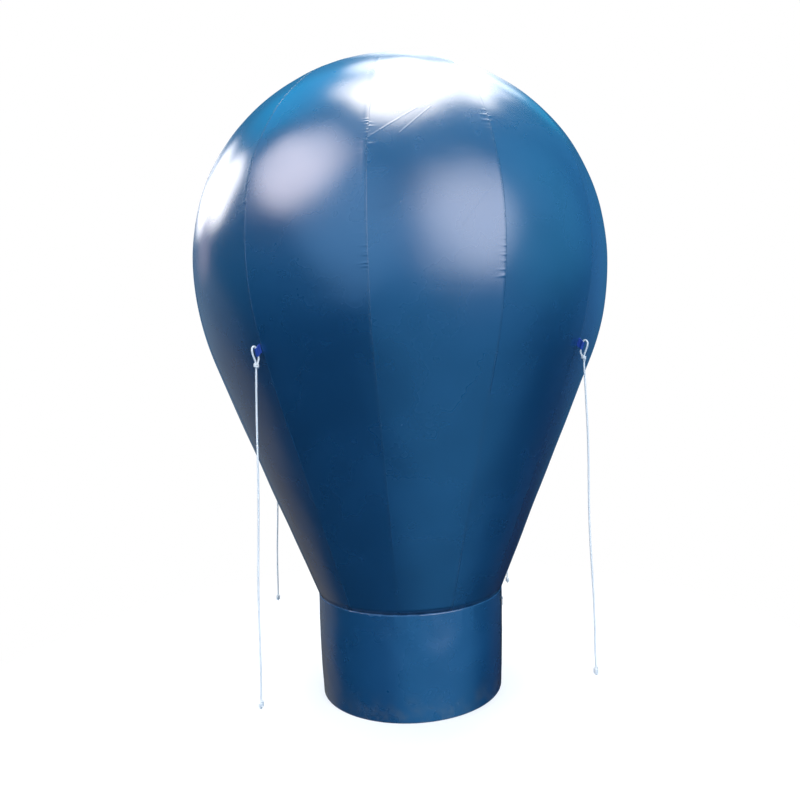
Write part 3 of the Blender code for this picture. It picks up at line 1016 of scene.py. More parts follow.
def crown_mesh():
    edge = math.acos((CROWN_RADIUS + PATCH_LAP) / BELLY_RADIUS)
    rim = np.linspace(edge, edge + RIM_SWEEP, 4)
    climb = np.concatenate([rim, np.linspace(edge + 1.5 * RIM_SWEEP, math.pi / 2, 22)])
    lift = PATCH_RISE + PATCH_RISE * np.sin(np.linspace(0.0, math.pi, len(climb)))
    lift[0] = RIM_RISE
    height = BELLY_HEIGHT + (TOTAL_HEIGHT - BELLY_HEIGHT) * np.sin(climb) + lift
    mesh = spun_mesh("crown_patch", zip(BELLY_RADIUS * np.cos(climb), height), PATCH_STEPS, 0.0001)
    points = read_points(mesh)
    out = np.hypot(points[:, 0], points[:, 1])
    write_attribute(mesh, "cloth_place", points[:, 0], points[:, 1], out * 0.0)
    write_attribute(mesh, "seam_distance", CROWN_RADIUS + PATCH_LAP - out)
    return mesh


crown_finish = coated_cloth("crown_cloth", (0.005, 0.011))
crown = add_piece("cloth_crown", crown_mesh(), crown_finish, "blue_fabric", "crown_patch")
give_thickness(crown, CLOTH)
if sum(polygon.normal.z for polygon in crown.data.polygons) < 0.0:
    crown.data.flip_normals()
print("crown patch faces:", len(crown.data.polygons))

# %% [markdown]
# ## Base wall
# The base is a short drum of the same cloth. The blower's pressure makes it bulge a little between its
# two seams, the foot rolls under at the floor, and the neck seam gathers puckers below it. It is one
# grid wrapped round, open at the zip, with the faces at the air intake taken out. The columns are set
# so that the intake's edges fall exactly on them.

# %% Base wall: sizes and its section
ZIP_ANGLE = -14.5
ZIP_WIDTH = 0.040
WINDOW_ANGLE = 90.0
WINDOW_SWEEP = 30.0
WINDOW_TURNS = (WINDOW_ANGLE - WINDOW_SWEEP / 2, WINDOW_ANGLE + WINDOW_SWEEP / 2)
WINDOW_LOW = 0.120
WINDOW_HIGH = 0.330
FOOT_ROUNDING = 0.004
FOOT_TUCK = 0.012  # how far the cloth runs in under the foot
BASE_BULGE = 0.004
FOOT_STEPS = 7
NECK_GAP = 0.001  # the wall stops this far below the neck seam
WALL_COLUMNS = (80, 32, 260)  # from the zip to the window, across it, and on round to the zip
WALL_ROWS = (12, 22, 26)  # from the foot to the window, up it, and on to the neck
NECK_RIDGES = 46
RIDGE_RISE = 0.0012
RIDGE_WIDTH = 0.006


def wall_radius(height):
    return FOOT_RADIUS + (NECK_RADIUS - FOOT_RADIUS) * height / BASE_HEIGHT


def degrees_on_wall(width):
    return math.degrees(width / NECK_RADIUS)


def base_rows():
    """Radius, height and length of the wall's section, from under the foot up to the neck seam."""
    turn = np.linspace(-math.pi / 2, 0.0, FOOT_STEPS)
    middle = wall_radius(0.0) - FOOT_ROUNDING
    rounding = np.stack([middle + FOOT_ROUNDING * np.cos(turn), FOOT_ROUNDING * (1.0 + np.sin(turn))], 1)
    tuck = [(middle - FOOT_TUCK, 0.0), (middle - FOOT_TUCK / 2, 0.0)]
    stops = [FOOT_ROUNDING, WINDOW_LOW, WINDOW_HIGH, BASE_HEIGHT - NECK_GAP]
    spans = zip(stops, stops[1:], WALL_ROWS)
    heights = np.concatenate([np.linspace(low, high, count)[1:] for low, high, count in spans])
    wall = np.stack([wall_radius(heights), heights], 1)
    section = np.concatenate([tuck, rounding, wall])
    return section[:, 0], section[:, 1], length_along(section)


def cut_opening(mesh, turns, heights):
    """Takes out the faces whose middles lie between two angles in degrees and two heights."""
    bm = bmesh.new()
    bm.from_mesh(mesh)
    opening = []
    for face in bm.faces:
        middle = face.calc_center_median()
        turn = math.degrees(math.atan2(middle.y, middle.x))
        if turns[0] < turn < turns[1] and heights[0] < middle.z < heights[1]:
            opening.append(face)
    bmesh.ops.delete(bm, geom=opening, context="FACES")
    bm.to_mesh(mesh)
    bm.free()


# %% Base wall


def base_mesh():
    radius, height, length = base_rows()
    slot = degrees_on_wall(ZIP_WIDTH / 2)
    stops = [ZIP_ANGLE + slot, *WINDOW_TURNS, ZIP_ANGLE + 360.0 - slot]
    spans = zip(stops, stops[1:], WALL_COLUMNS)
    turns = [np.linspace(start, end, count, endpoint=False) for start, end, count in spans]
    turns = np.radians(np.concatenate([*turns, stops[-1:]]))
    mesh, share, rise = flat_grid("base_wall", len(turns) - 1, len(radius) - 1)
    angle = at_share(share, turns)
    wall, up, level = (at_share(rise, values) for values in (radius, height, length))
    fill = np.sin(np.clip(up / BASE_HEIGHT, 0.0, 1.0) * math.pi)
    raised = (BASE_BULGE + wave_height(angle, level * 2.0)) * fill
    below_neck = BASE_HEIGHT - up
    for ridge, turn in enumerate(draws.uniform(-math.pi, math.pi, NECK_RIDGES)):
        off = (angle - turn + math.pi) % math.tau - math.pi
        reach = 0.02 + 0.03 * (ridge % 3)
        raised_here = RIDGE_RISE * np.exp(-((off * NECK_RADIUS / RIDGE_WIDTH) ** 2))
        raised += raised_here * np.exp(-((below_neck / reach) ** 2))
    write_round(mesh, wall + raised * smoothstep(up, 0.0, 0.02), angle, up)
    write_attribute(mesh, "cloth_place", angle * NECK_RADIUS, level, up * 0.0)
    write_attribute(mesh, "seam_distance", below_neck)
    cut_opening(mesh, WINDOW_TURNS, (WINDOW_LOW, WINDOW_HIGH))
    return mesh


base_finish = coated_cloth("base_cloth", (), grime_top=0.16)
base = add_piece("cloth_base_wall", base_mesh(), base_finish, "blue_fabric", "base_wall")
give_thickness(base, CLOTH)
print("base wall faces:", len(base.data.polygons))

# %% [markdown]
# ## Neck hem
# Where the envelope meets the base the seam allowance is folded into a narrow lip of matt binding: a
# thin pale line, with a shadow above it. A small section spun round the axis makes it, then a gentle
# ripple keeps it from looking turned on a lathe.

# %% Neck hem
HEM_RADIUS = 0.0022
HEM_STEPS = 240
HEM_SIDES = 10
HEM_SINK = 0.001  # how far its middle lies inside the neck seam
HEM_DROP = 0.002  # and below it
HEM_BLUE = (0.030, 0.100, 0.205, 1.0)


def hem_binding():
    """Matt binding tape: the hem is a thin pale line, and no lamp shows in it."""
    material, tree, shader = new_finish("hem_binding", 0.45)
    place = read_attribute(tree, "cloth_place").outputs["Vector"]
    threads = use_group(tree, weave, place=place, thread=0.0009, depth=0.00003)
    raise_by(tree, shader, threads["Height"])
    worn = fade(tree, noise(tree, place, 22.0, 3.0), 0.35, 0.70)
    wire(tree, mix_colour(tree, worn, FABRIC_PALE, HEM_BLUE), shader.inputs["Base Color"])
    return material


def hem_mesh():
    section = []
    for side in range(HEM_SIDES):
        turn = math.tau * side / HEM_SIDES
        out = NECK_RADIUS - HEM_SINK + HEM_RADIUS * math.cos(turn)
        section.append((out, BASE_HEIGHT - HEM_DROP + HEM_RADIUS * math.sin(turn)))
    mesh = spun_mesh("neck_hem", section, HEM_STEPS, 0.00001, closed=True)
    points = read_points(mesh)
    turn = np.arctan2(points[:, 1], points[:, 0])
    ripple = 0.0004 * np.sin(turn * 37.0) * np.sin(turn * 5.0 + 0.6) + 0.0002 * np.sin(turn * 91.0 + 2.0)
    points[:, 2] += ripple
    points[:, :2] *= (1.0 + ripple[:, None])
    write_points(mesh, points)
    write_attribute(mesh, "cloth_place", turn * NECK_RADIUS, points[:, 2], turn * 0.0)
    return mesh


hem = add_piece("neck_hem", hem_mesh(), hem_binding(), "blue_fabric")
print("neck hem faces:", len(hem.data.polygons))

# %% [markdown]
# ## Webbing loops
# Each rope is tied to a short band of royal blue webbing, folded double round the rope and sewn into
# the seam. Webbing has a body of its own, so its two plies run flat and open only round the rope. A
# band is easiest as a line of points along its fold, extruded edge by edge to the webbing's width, with
# its thickness added afterwards. The fold's length is kept as an attribute, so the ribs follow it.

# %% Finish: ribbed blue webbing
WEBBING_BLUE = (0.004, 0.044, 0.300, 1.0)
# colour of the painted shade in the gaps between the ribs
WEBBING_GAP_SHADE = (0.002, 0.022, 0.160, 1.0)
WEBBING_WORN = (0.012, 0.090, 0.440, 1.0)
TACK_BLUE = (0.020, 0.075, 0.420, 1.0)
TACK_ROWS = (0.0055, 0.0095)  # metres along the webbing from its cut end


def ribbed_webbing():
    material, tree, shader = new_finish("royal_blue_webbing", 0.50)
    place = read_attribute(tree, "cloth_place").outputs["Vector"]
    along_fold, width, _ = separate(tree, place)
    ribs = use_group(tree, weave, place=place, thread=0.0015, depth=0.00016)
    tack = 0.0
    for row in TACK_ROWS:
        stitches = use_group(
            tree, stitch_row, across=along_fold, along=width, line=row, pitch=0.0030, width=0.0016
        )
        tack = calc(tree, "MAXIMUM", stitches["Thread"], tack)
    raise_by(tree, shader, calc(tree, "MULTIPLY_ADD", tack, 0.0004, ribs["Height"]))
    worn = fade(tree, noise(tree, place, 90.0, 4.0), 0.35, 0.75)
    # painted shade: the gaps between the ribs are coloured darker
    colour = mix_colour(tree, calc(tree, "MULTIPLY", ribs["Gap"], 0.6), WEBBING_BLUE, WEBBING_GAP_SHADE)
    colour = mix_colour(tree, calc(tree, "MULTIPLY", worn, 0.30), colour, WEBBING_WORN)
    colour = mix_colour(tree, tack, colour, TACK_BLUE)
    wire(tree, colour, shader.inputs["Base Color"])
    shader.inputs["Sheen Weight"].default_value = 0.10
    return material


webbing_finish = ribbed_webbing()
print("webbing finish nodes:", len(webbing_finish.node_tree.nodes))

# %% Sizes of a loop and its fold
WEBBING_PLY = 0.0019
WEBBING_STEPS = 12
EYE_RADIUS = 0.0046

# Half of the fold, from the seam out to its end: (outward, off the middle) in metres
HALF_FOLD = [
    (-0.003, 0.0011),
    (0.003, 0.0011),
    (0.009, 0.0011),
    (0.0130, 0.0018),
    (0.0168, 0.0040),
    (0.0205, 0.0055),
    (0.0243, 0.0056),
    (0.0275, 0.0038),
]
FOLD_TIP = (LOOP_REACH + EYE_RADIUS + WEBBING_PLY / 2, 0.0)
LOOP_WAVE = 0.0012  # how far the band's width waves sideways
LOOP_LEAN = 0.001  # how far a loop leans sideways for a droop of 1
LOOP_DROOPS = (-1.0, 1.0, 0.5, -0.4)
EYE_SQUEEZE = 0.05  # how much narrower the rope pulls the band at its tip


def fold_line():
    there = [(x, y, 0.0) for x, y in HALF_FOLD]
    back = [(x, -y, 0.0) for x, y in reversed(HALF_FOLD)]
    return smooth_path([*there, (*FOLD_TIP, 0.0), *back], 0.0010)


print("webbing in a loop:", round(float(length_along(fold_line())[-1]), 3), "m")

# %% Webbing loops in every third seam


def loop_mesh(angle, droop):
    """A folded band, its width along the seam, sheared down as the rope pulls it."""
    line = fold_line()
    run = length_along(line)
    bm = bmesh.new()
    fold_layer = bm.verts.layers.float.new("fold")
    ring = [bm.verts.new(point) for point in line]
    for vert, at in zip(ring, run):
        vert[fold_layer] = at
    edges = [bm.edges.new(pair) for pair in zip(ring, ring[1:])]
    bmesh.ops.translate(bm, vec=(0, 0, -WEBBING_WIDTH / 2), verts=bm.verts)
    for _ in range(WEBBING_STEPS):
        grown = bmesh.ops.extrude_edge_only(bm, edges=edges)["geom"]
        edges = [item for item in grown if isinstance(item, bmesh.types.BMEdge)]
        new_verts = [item for item in grown if isinstance(item, bmesh.types.BMVert)]
        bmesh.ops.translate(bm, vec=(0, 0, WEBBING_WIDTH / WEBBING_STEPS), verts=new_verts)
    bmesh.ops.recalc_face_normals(bm, faces=bm.faces)
    fold = np.array([vert[fold_layer] for vert in bm.verts])
    mesh = mesh_of(bm, "webbing_loop")
    points = read_points(mesh)
    across = points[:, 2].copy()
    reach = np.clip(points[:, 0] / FOLD_TIP[0], 0.0, 1.0)
    points[:, 1] += reach**2 * (LOOP_WAVE * np.sin(across * 60.0 + droop) + droop * LOOP_LEAN)
    points[:, 2] *= 1.0 - EYE_SQUEEZE * reach
    write_points(mesh, points)
    write_attribute(mesh, "cloth_place", np.minimum(fold, run[-1] - fold), across, fold * 0.0)
    point, normal, side, up = seam_frame(angle)
    outward = normal - up * (LOOP_SAG / LOOP_REACH)
    place = Matrix((outward, side, up)).transposed().to_4x4()
    place.translation = point
    mesh.transform(place)
    return mesh


for number, droop in enumerate(LOOP_DROOPS, 1):
    webbing = add_piece(
        f"folded_webbing_{number}",
        loop_mesh(rope_angle(number), droop),
        webbing_finish,
        "blue_webbing",
        f"webbing_loop_{number}",
    )
    give_thickness(webbing, WEBBING_PLY, 0.0)
    edge = webbing.modifiers.new("Selvedge", "BEVEL")
    edge.width = 0.0005
    edge.segments = 2
    edge.limit_method = "ANGLE"
print("webbing faces:", len(webbing.data.polygons))

# %% [markdown]
# ## Zip
# The base opens with one zip, so the blower can be reached. Its tape lies a little inside the wall's
# surface and two rows of small teeth meet on it. A tooth is a tiny bevelled block: hundreds of them are
# made in one mesh, turned into place round the wall, because each is too small to be worth an object.

# %% Finishes: zip tape, nylon teeth and worn metal
TAPE_BLACK = (0.018, 0.018, 0.021, 1.0)
# colour of the painted shade in the gaps between the threads
TAPE_GAP_SHADE = (0.009, 0.009, 0.011, 1.0)
TAPE_DIRT = (0.075, 0.070, 0.062, 1.0)
TOOTH_BLACK = (0.014, 0.014, 0.016, 1.0)
TOOTH_RUBBED = (0.050, 0.050, 0.052, 1.0)
METAL_DULL = (0.30, 0.29, 0.28, 1.0)
METAL_RUBBED = (0.62, 0.61, 0.60, 1.0)


def zip_cloth():
    material, tree, shader = new_finish("black_zip_tape", 0.70)
    place = read_attribute(tree, "cloth_place").outputs["Vector"]
    threads = use_group(tree, weave, place=place, thread=0.0006, depth=0.00008)
    raise_by(tree, shader, threads["Height"])
    dirt = use_group(tree, grime, place=object_place(tree), low=0.0, high=0.30, amount=0.5)
    # painted shade: the gaps between the threads are coloured darker
    tone = mix_colour(tree, threads["Gap"], TAPE_BLACK, TAPE_GAP_SHADE)
    wire(tree, mix_colour(tree, dirt["Mask"], tone, TAPE_DIRT), shader.inputs["Base Color"])
    return material


def nylon_teeth():
    material, tree, shader = new_finish("black_nylon_teeth", 0.38)
    place = object_place(tree)
    rub = fade(tree, noise(tree, place, 320.0, 3.0), 0.45, 0.70)
    wire(tree, mix_colour(tree, rub, TOOTH_BLACK, TOOTH_RUBBED), shader.inputs["Base Color"])
    wire(tree, calc(tree, "MULTIPLY_ADD", rub, 0.20, 0.30), shader.inputs["Roughness"])
    raise_by(tree, shader, calc(tree, "MULTIPLY", noise(tree, place, 900.0), 0.00006))
    return material


def worn_metal():
    material, tree, shader = new_finish("worn_zip_metal", 0.35, 1.0)
    place = object_place(tree)
    rub = fade(tree, noise(tree, place, 260.0, 4.0, 0.6), 0.42, 0.66)
    drawn_out = vector_calc(tree, "MULTIPLY", place, (900.0, 900.0, 60.0))
    scratch = fade(tree, noise(tree, drawn_out, 1.0, 2.0), 0.60, 0.75)
    wire(tree, mix_colour(tree, rub, METAL_DULL, METAL_RUBBED), shader.inputs["Base Color"])
    dullness = calc(tree, "MULTIPLY_ADD", rub, -0.12, 0.40)
    wire(tree, calc(tree, "MULTIPLY_ADD", scratch, 0.20, dullness), shader.inputs["Roughness"])
    raise_by(tree, shader, calc(tree, "MULTIPLY", scratch, 0.00004))
    return material


tape_finish = zip_cloth()
tooth_finish = nylon_teeth()
metal_finish = worn_metal()
print("zip finishes:", tape_finish.name, tooth_finish.name, metal_finish.name)

# %% Patches that follow the base wall


def wall_skin(height):
    """Radius of the blown-up wall at a height."""
    return wall_radius(height) + BASE_BULGE * np.sin(np.clip(height / BASE_HEIGHT, 0.0, 1.0) * math.pi)


def wall_patch(name, turns, heights, lift):
    """A grid on the base wall, its columns at the given angles and its rows at the given heights."""
    mesh, share, rise = flat_grid(name, len(turns) - 1, len(heights) - 1)
    angle = np.radians(at_share(share, turns))
    up = at_share(rise, heights)
    write_round(mesh, wall_skin(up) + lift, angle, up)
    write_attribute(mesh, "cloth_place", angle * NECK_RADIUS, up, up * 0.0)
    return mesh


def wall_place(turn, height, lift):
    """Matrix that puts a thing made at the origin (X outward, Z up) on the base wall."""
    reach = float(wall_skin(height)) + lift
    return Matrix.Rotation(math.radians(turn), 4, "Z") @ Matrix.Translation((reach, 0.0, height))


# %% Zip tape
TAPE_WIDTH = 0.046
TAPE_DEPTH = 0.0014  # how far it lies inside the wall's surface
TAPE_CLOTH = 0.0008
TAPE_LOW = 0.002
TAPE_HIGH = 0.484
half_tape = degrees_on_wall(TAPE_WIDTH / 2)
tape_turns = np.linspace(ZIP_ANGLE - half_tape, ZIP_ANGLE + half_tape, 9)
tape_mesh = wall_patch("zip_tape", tape_turns, np.linspace(TAPE_LOW, TAPE_HIGH, 60), -TAPE_DEPTH)
tape = add_piece("zip_tape", tape_mesh, tape_finish, "black_zip", "zip_chain")
give_thickness(tape, TAPE_CLOTH)

# %% Zip teeth and slider
TOOTH_PITCH = 0.0028
TOOTH_ASIDE = 0.0011  # neighbouring teeth stand this far to either side
TOOTH_BEVEL = 0.0004
TOOTH = (0.0022, 0.0044, 0.0017)
LOWEST_TOOTH = 0.008
SLIDER_HEIGHT = 0.440
TEETH_PAST_SLIDER = 0.03
SLIDER_LIFT = 0.0024
SLIDER_BODY = (0.0046, 0.0120, 0.0160)
SLIDER_BRIDGE = (0.0030, 0.0040, 0.0110)
PULL_STEM = (0.0016, 0.0070, 0.0300)
PULL_TAB = (0.0022, 0.0086, 0.0110)
PULL_SWING = 5.0  # degrees off plumb


def block(bm, size, place, bevel, segments=1):
    """A bevelled block of a size, put in place by a matrix."""
    made = bmesh.ops.create_cube(bm, size=1.0)["verts"]
    bmesh.ops.scale(bm, vec=size, verts=made)
    edges = list({edge for vert in made for edge in vert.link_edges})
    rounded = bmesh.ops.bevel(
        bm, geom=edges, offset=bevel, segments=segments, profile=0.5, affect="EDGES", material=-1
    )["verts"]
    bmesh.ops.transform(bm, matrix=place, verts=rounded)


def teeth_mesh():
    bm = bmesh.new()
    heights = np.arange(LOWEST_TOOTH, SLIDER_HEIGHT + TEETH_PAST_SLIDER, TOOTH_PITCH)
    for count, height in enumerate(heights):
        aside = TOOTH_ASIDE if count % 2 else -TOOTH_ASIDE
        place = wall_place(ZIP_ANGLE, height, 0.0) @ Matrix.Translation((0.0, aside, 0.0))
        block(bm, TOOTH, place, TOOTH_BEVEL)
    return mesh_of(bm, "zip_teeth")


teeth = add_piece("zip_teeth", teeth_mesh(), tooth_finish, "black_zip")


def slider_mesh():
    """Slider body, the bridge on it and its pull, hanging a little off plumb."""
    bm = bmesh.new()
    lay = wall_place(ZIP_ANGLE, SLIDER_HEIGHT, SLIDER_LIFT)
    block(bm, SLIDER_BODY, lay, 0.0014, 3)
    block(bm, SLIDER_BRIDGE, lay @ Matrix.Translation((0.0036, 0.0, 0.0)), 0.0012, 3)
    hinge = lay @ Matrix.Translation((0.0052, 0.0, -0.002))
    swing = hinge @ Matrix.Rotation(math.radians(PULL_SWING), 4, "X")
    block(bm, PULL_STEM, swing @ Matrix.Translation((0.0, 0.0, -PULL_STEM[2] / 2)), 0.0007, 2)
    block(bm, PULL_TAB, swing @ Matrix.Translation((0.0, 0.0, -PULL_STEM[2])), 0.0010, 2)
    return mesh_of(bm, "zip_slider")


slider = add_piece("zip_slider_and_pull", slider_mesh(), metal_finish, "zip_metal", "zip_slider")
print("zip teeth faces:", len(teeth.data.polygons), "slider faces:", len(slider.data.polygons))

# %% [markdown]
# ## Air intake
# The blower draws its air through a window of coarse mesh in the back of the base. The mesh is real
# threads here: the wireframe operator turns every edge of a fine grid into a small bar, so light passes
# between them as it should. A bound edge of folded cloth, stitched twice, holds it in the wall.

# %% Finish: mesh threads
THREAD_BLACK = (0.020, 0.021, 0.024, 1.0)
THREAD_DUST = (0.11, 0.105, 0.095, 1.0)


def mesh_threads():
    material, tree, shader = new_finish("black_mesh_threads", 0.62)
    place = object_place(tree)
    dust = fade(tree, noise(tree, place, 60.0, 4.0), 0.42, 0.72)
    colour = mix_colour(tree, calc(tree, "MULTIPLY", dust, 0.5), THREAD_BLACK, THREAD_DUST)
    wire(tree, colour, shader.inputs["Base Color"])
    raise_by(tree, shader, calc(tree, "MULTIPLY", noise(tree, place, 1400.0), 0.00005))
    return material


# %% Intake mesh and its binding
MESH_PITCH = 0.005
MESH_THREAD = 0.0011
MESH_DEPTH = 0.0015  # how far the mesh lies inside the wall's surface
BINDING = 0.022
BINDING_LIFT = 0.0010
BINDING_CLOTH = 0.0012
window_turns = np.linspace(*WINDOW_TURNS, 50)
window_heights = np.linspace(WINDOW_LOW, WINDOW_HIGH, round((WINDOW_HIGH - WINDOW_LOW) / MESH_PITCH) + 1)


def intake_mesh():
    flat = wall_patch("intake", window_turns, window_heights, -MESH_DEPTH)
    bm = bmesh.new()
    bm.from_mesh(flat)
    bmesh.ops.wireframe(
        bm,
        faces=bm.faces,
        thickness=MESH_THREAD,
        offset=0.0,
        use_replace=True,
        use_boundary=True,
        use_even_offset=True,
    )
    return mesh_of(bm, "intake_threads")


intake = add_piece("intake_threads", intake_mesh(), mesh_threads(), "black_mesh", "intake_window")


def framed(low, high, edge, count):
    """Positions for a frame: the two at its outer edge, those across the opening, and two more."""
    across = np.linspace(low + edge / 3, high - edge / 3, count)
    return np.concatenate([[low - edge, low - edge / 2], across, [high + edge / 2, high + edge]])


def binding_mesh():
    edge = BINDING / 2
    turns = framed(*WINDOW_TURNS, degrees_on_wall(edge), 30)
    heights = framed(WINDOW_LOW, WINDOW_HIGH, edge, 24)
    mesh = wall_patch("binding", turns, heights, BINDING_LIFT)
    cut_opening(mesh, (turns[2], turns[-3]), (heights[2], heights[-3]))
    points = read_points(mesh)
    turn = np.degrees(np.arctan2(points[:, 1], points[:, 0]))
    off_side = (np.abs(turn - WINDOW_ANGLE) - WINDOW_SWEEP / 2) / degrees_on_wall(1.0)
    off_level = np.abs(points[:, 2] - (WINDOW_LOW + WINDOW_HIGH) / 2) - (WINDOW_HIGH - WINDOW_LOW) / 2
    write_attribute(mesh, "seam_distance", np.maximum(off_side, off_level))
    return mesh


binding_finish = coated_cloth("binding_cloth", (0.0025, 0.0080))
binding = add_piece("intake_binding", binding_mesh(), binding_finish, "blue_fabric")
give_thickness(binding, BINDING_CLOTH)
print("intake faces:", len(intake.data.polygons))

# %% [markdown]
# ## Blower and floor panel
# Behind the mesh stands the blower, a moulded housing with a round grille towards the intake. It is
# seen only through the threads, so it needs its rounded edges and its grille, and no more. The floor
# panel under it is a disc of heavier cloth inside the foot of the wall, slightly uneven as cloth lies.

# %% Finishes: moulded plastic and the floor cloth
PLASTIC_GREY = (0.060, 0.064, 0.072, 1.0)
PLASTIC_SCUFFED = (0.105, 0.108, 0.115, 1.0)
PLASTIC_DIRT = (0.15, 0.14, 0.12, 1.0)
PANEL_BLUE = (0.012, 0.045, 0.100, 1.0)
PANEL_RUBBED = (0.050, 0.070, 0.095, 1.0)
PANEL_CREASE = (0.12, 0.12, 0.12, 1.0)


def moulded_plastic():
    material, tree, shader = new_finish("grey_moulded_plastic", 0.5)
    place = object_place(tree)
    raise_by(tree, shader, calc(tree, "MULTIPLY", noise(tree, place, 700.0, 3.0), 0.00012))
    scuff = fade(tree, noise(tree, place, 30.0, 5.0, 0.7), 0.50, 0.72)
    dirt = use_group(tree, grime, place=place, low=0.0, high=0.20, amount=0.5)
    tone = mix_colour(tree, scuff, PLASTIC_GREY, PLASTIC_SCUFFED)
    wire(tree, mix_colour(tree, dirt["Mask"], tone, PLASTIC_DIRT), shader.inputs["Base Color"])
    wire(tree, calc(tree, "MULTIPLY_ADD", scuff, 0.15, 0.42), shader.inputs["Roughness"])
    return material


def floor_cloth():
    material, tree, shader = new_finish("base_floor_cloth", 0.62)
    place = object_place(tree)
    threads = use_group(tree, weave, place=place, thread=0.0012, depth=0.00012)
    creases = use_group(
        tree, fold_lines, place=place, turn=0.6, spacing=0.06, length=0.2, width=0.004, share=0.5
    )["Line"]
    raise_by(tree, shader, calc(tree, "MULTIPLY_ADD", creases, -0.0004, threads["Height"]))
    rub = fade(tree, noise(tree, place, 11.0, 5.0, 0.65), 0.38, 0.70)
    tone = mix_colour(tree, rub, PANEL_BLUE, PANEL_RUBBED)
    tone = mix_colour(tree, calc(tree, "MULTIPLY", creases, 0.4), tone, PANEL_CREASE)
    wire(tree, tone, shader.inputs["Base Color"])
    wire(tree, calc(tree, "MULTIPLY_ADD", rub, 0.2, 0.5), shader.inputs["Roughness"])
    return material


# %% Blower housing
BODY_INSET = (0.02, 0.03, 0.03)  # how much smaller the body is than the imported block
FOOT_HEIGHT = 0.03
COLLAR = (0.15, 0.12, 0.024)
GRILLE_RINGS = (0.035, 0.060, 0.085, 0.110)
GRILLE_BAR = 0.004
GRILLE_INSET = 0.012
SPOKE = (0.005, 0.225, 0.005)
SPOKES = 6
blower_low, blower_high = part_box("blower")
blower_size = blower_high - blower_low
blower_middle = (blower_low + blower_high) / 2


def ring_bar(bm, radius, thickness, place, steps=48):
    """A round bar bent into a ring about the origin's X axis, put in place by a matrix."""
    section = bmesh.ops.create_circle(
        bm, segments=8, radius=thickness, matrix=Matrix.Translation((0, radius, 0))
    )["verts"]
    edges = list({edge for vert in section for edge in vert.link_edges})
    before = set(bm.verts) - set(section)
    bmesh.ops.spin(
        bm, geom=section + edges, cent=(0, 0, 0), axis=(1, 0, 0), angle=math.tau, steps=steps, use_merge=True
    )
    bmesh.ops.transform(bm, matrix=place, verts=[vert for vert in bm.verts if vert not in before])


def upright_at(height):
    return Matrix.Translation((blower_middle.x, blower_middle.y, height))


def blower_mesh():
    bm = bmesh.new()
    block(bm, blower_size - Vector(BODY_INSET), Matrix.Translation(blower_middle), 0.03, 4)
    foot = (blower_size.x, blower_size.y, FOOT_HEIGHT)
    block(bm, foot, upright_at(blower_low.z + FOOT_HEIGHT / 2), 0.008, 2)
    face_place = (blower_middle.x, blower_high.y - GRILLE_INSET, blower_middle.z)
    face = Matrix.Translation(face_place) @ Matrix.Rotation(math.pi / 2, 4, "Z")
    for radius in GRILLE_RINGS:
        ring_bar(bm, radius, GRILLE_BAR, face)
    for spoke in range(SPOKES):
        block(bm, SPOKE, face @ Matrix.Rotation(spoke * math.pi / SPOKES, 4, "X"), 0.001)
    block(bm, COLLAR, upright_at(blower_high.z - COLLAR[2] / 2), 0.01, 3)
    return mesh_of(bm, "blower_housing", weld=0.000001)


housing = add_piece("blower_housing", blower_mesh(), moulded_plastic(), "blower_plastic", "blower")
print("blower faces:", len(housing.data.polygons))

# %% Floor panel
PANEL_RINGS = 24
PANEL_STEPS = 96
PANEL_DIP = 0.0008  # how uneven the floor cloth lies
panel_low, panel_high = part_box("base_floor")


def panel_mesh():
    """The floor panel: a line from the middle to the edge, spun round."""
    edge = (panel_high.x - panel_low.x) / 2 - GAP
    top = panel_high.z - PANEL_DIP
    line = [(edge * ring / PANEL_RINGS, top) for ring in range(PANEL_RINGS + 1)]
    mesh = spun_mesh("floor_panel", line, PANEL_STEPS, 0.0001)
    points = read_points(mesh)
    x, y = points[:, 0], points[:, 1]
    points[:, 2] += PANEL_DIP * np.sin(31 * x + 17 * y) * np.sin(23 * y - 9 * x)
    write_points(mesh, points)
    return mesh


panel = add_piece("floor_panel", panel_mesh(), floor_cloth(), "floor_fabric", "base_floor")
give_thickness(panel, panel_high.z - panel_low.z - 2 * PANEL_DIP)
print("floor panel faces:", len(panel.data.polygons))

# %% [markdown]
# ## Studio
# The photograph is cut out on white, and the balloon's gloss shows a hall with large soft lamps: a
# bright one overhead that runs on to the back, two at the front and the left, and a bright row behind
# at the left. The world holds them as soft round patches of light, because only their direction matters
# on a balloon this size. The weak ones stand for what the hall itself throws back. Matt things such as
# the ropes get neutral light from three wide lights that no gloss shows, so they stay white. The floor
# is plain and pale, and turns into the white paper a little way out.

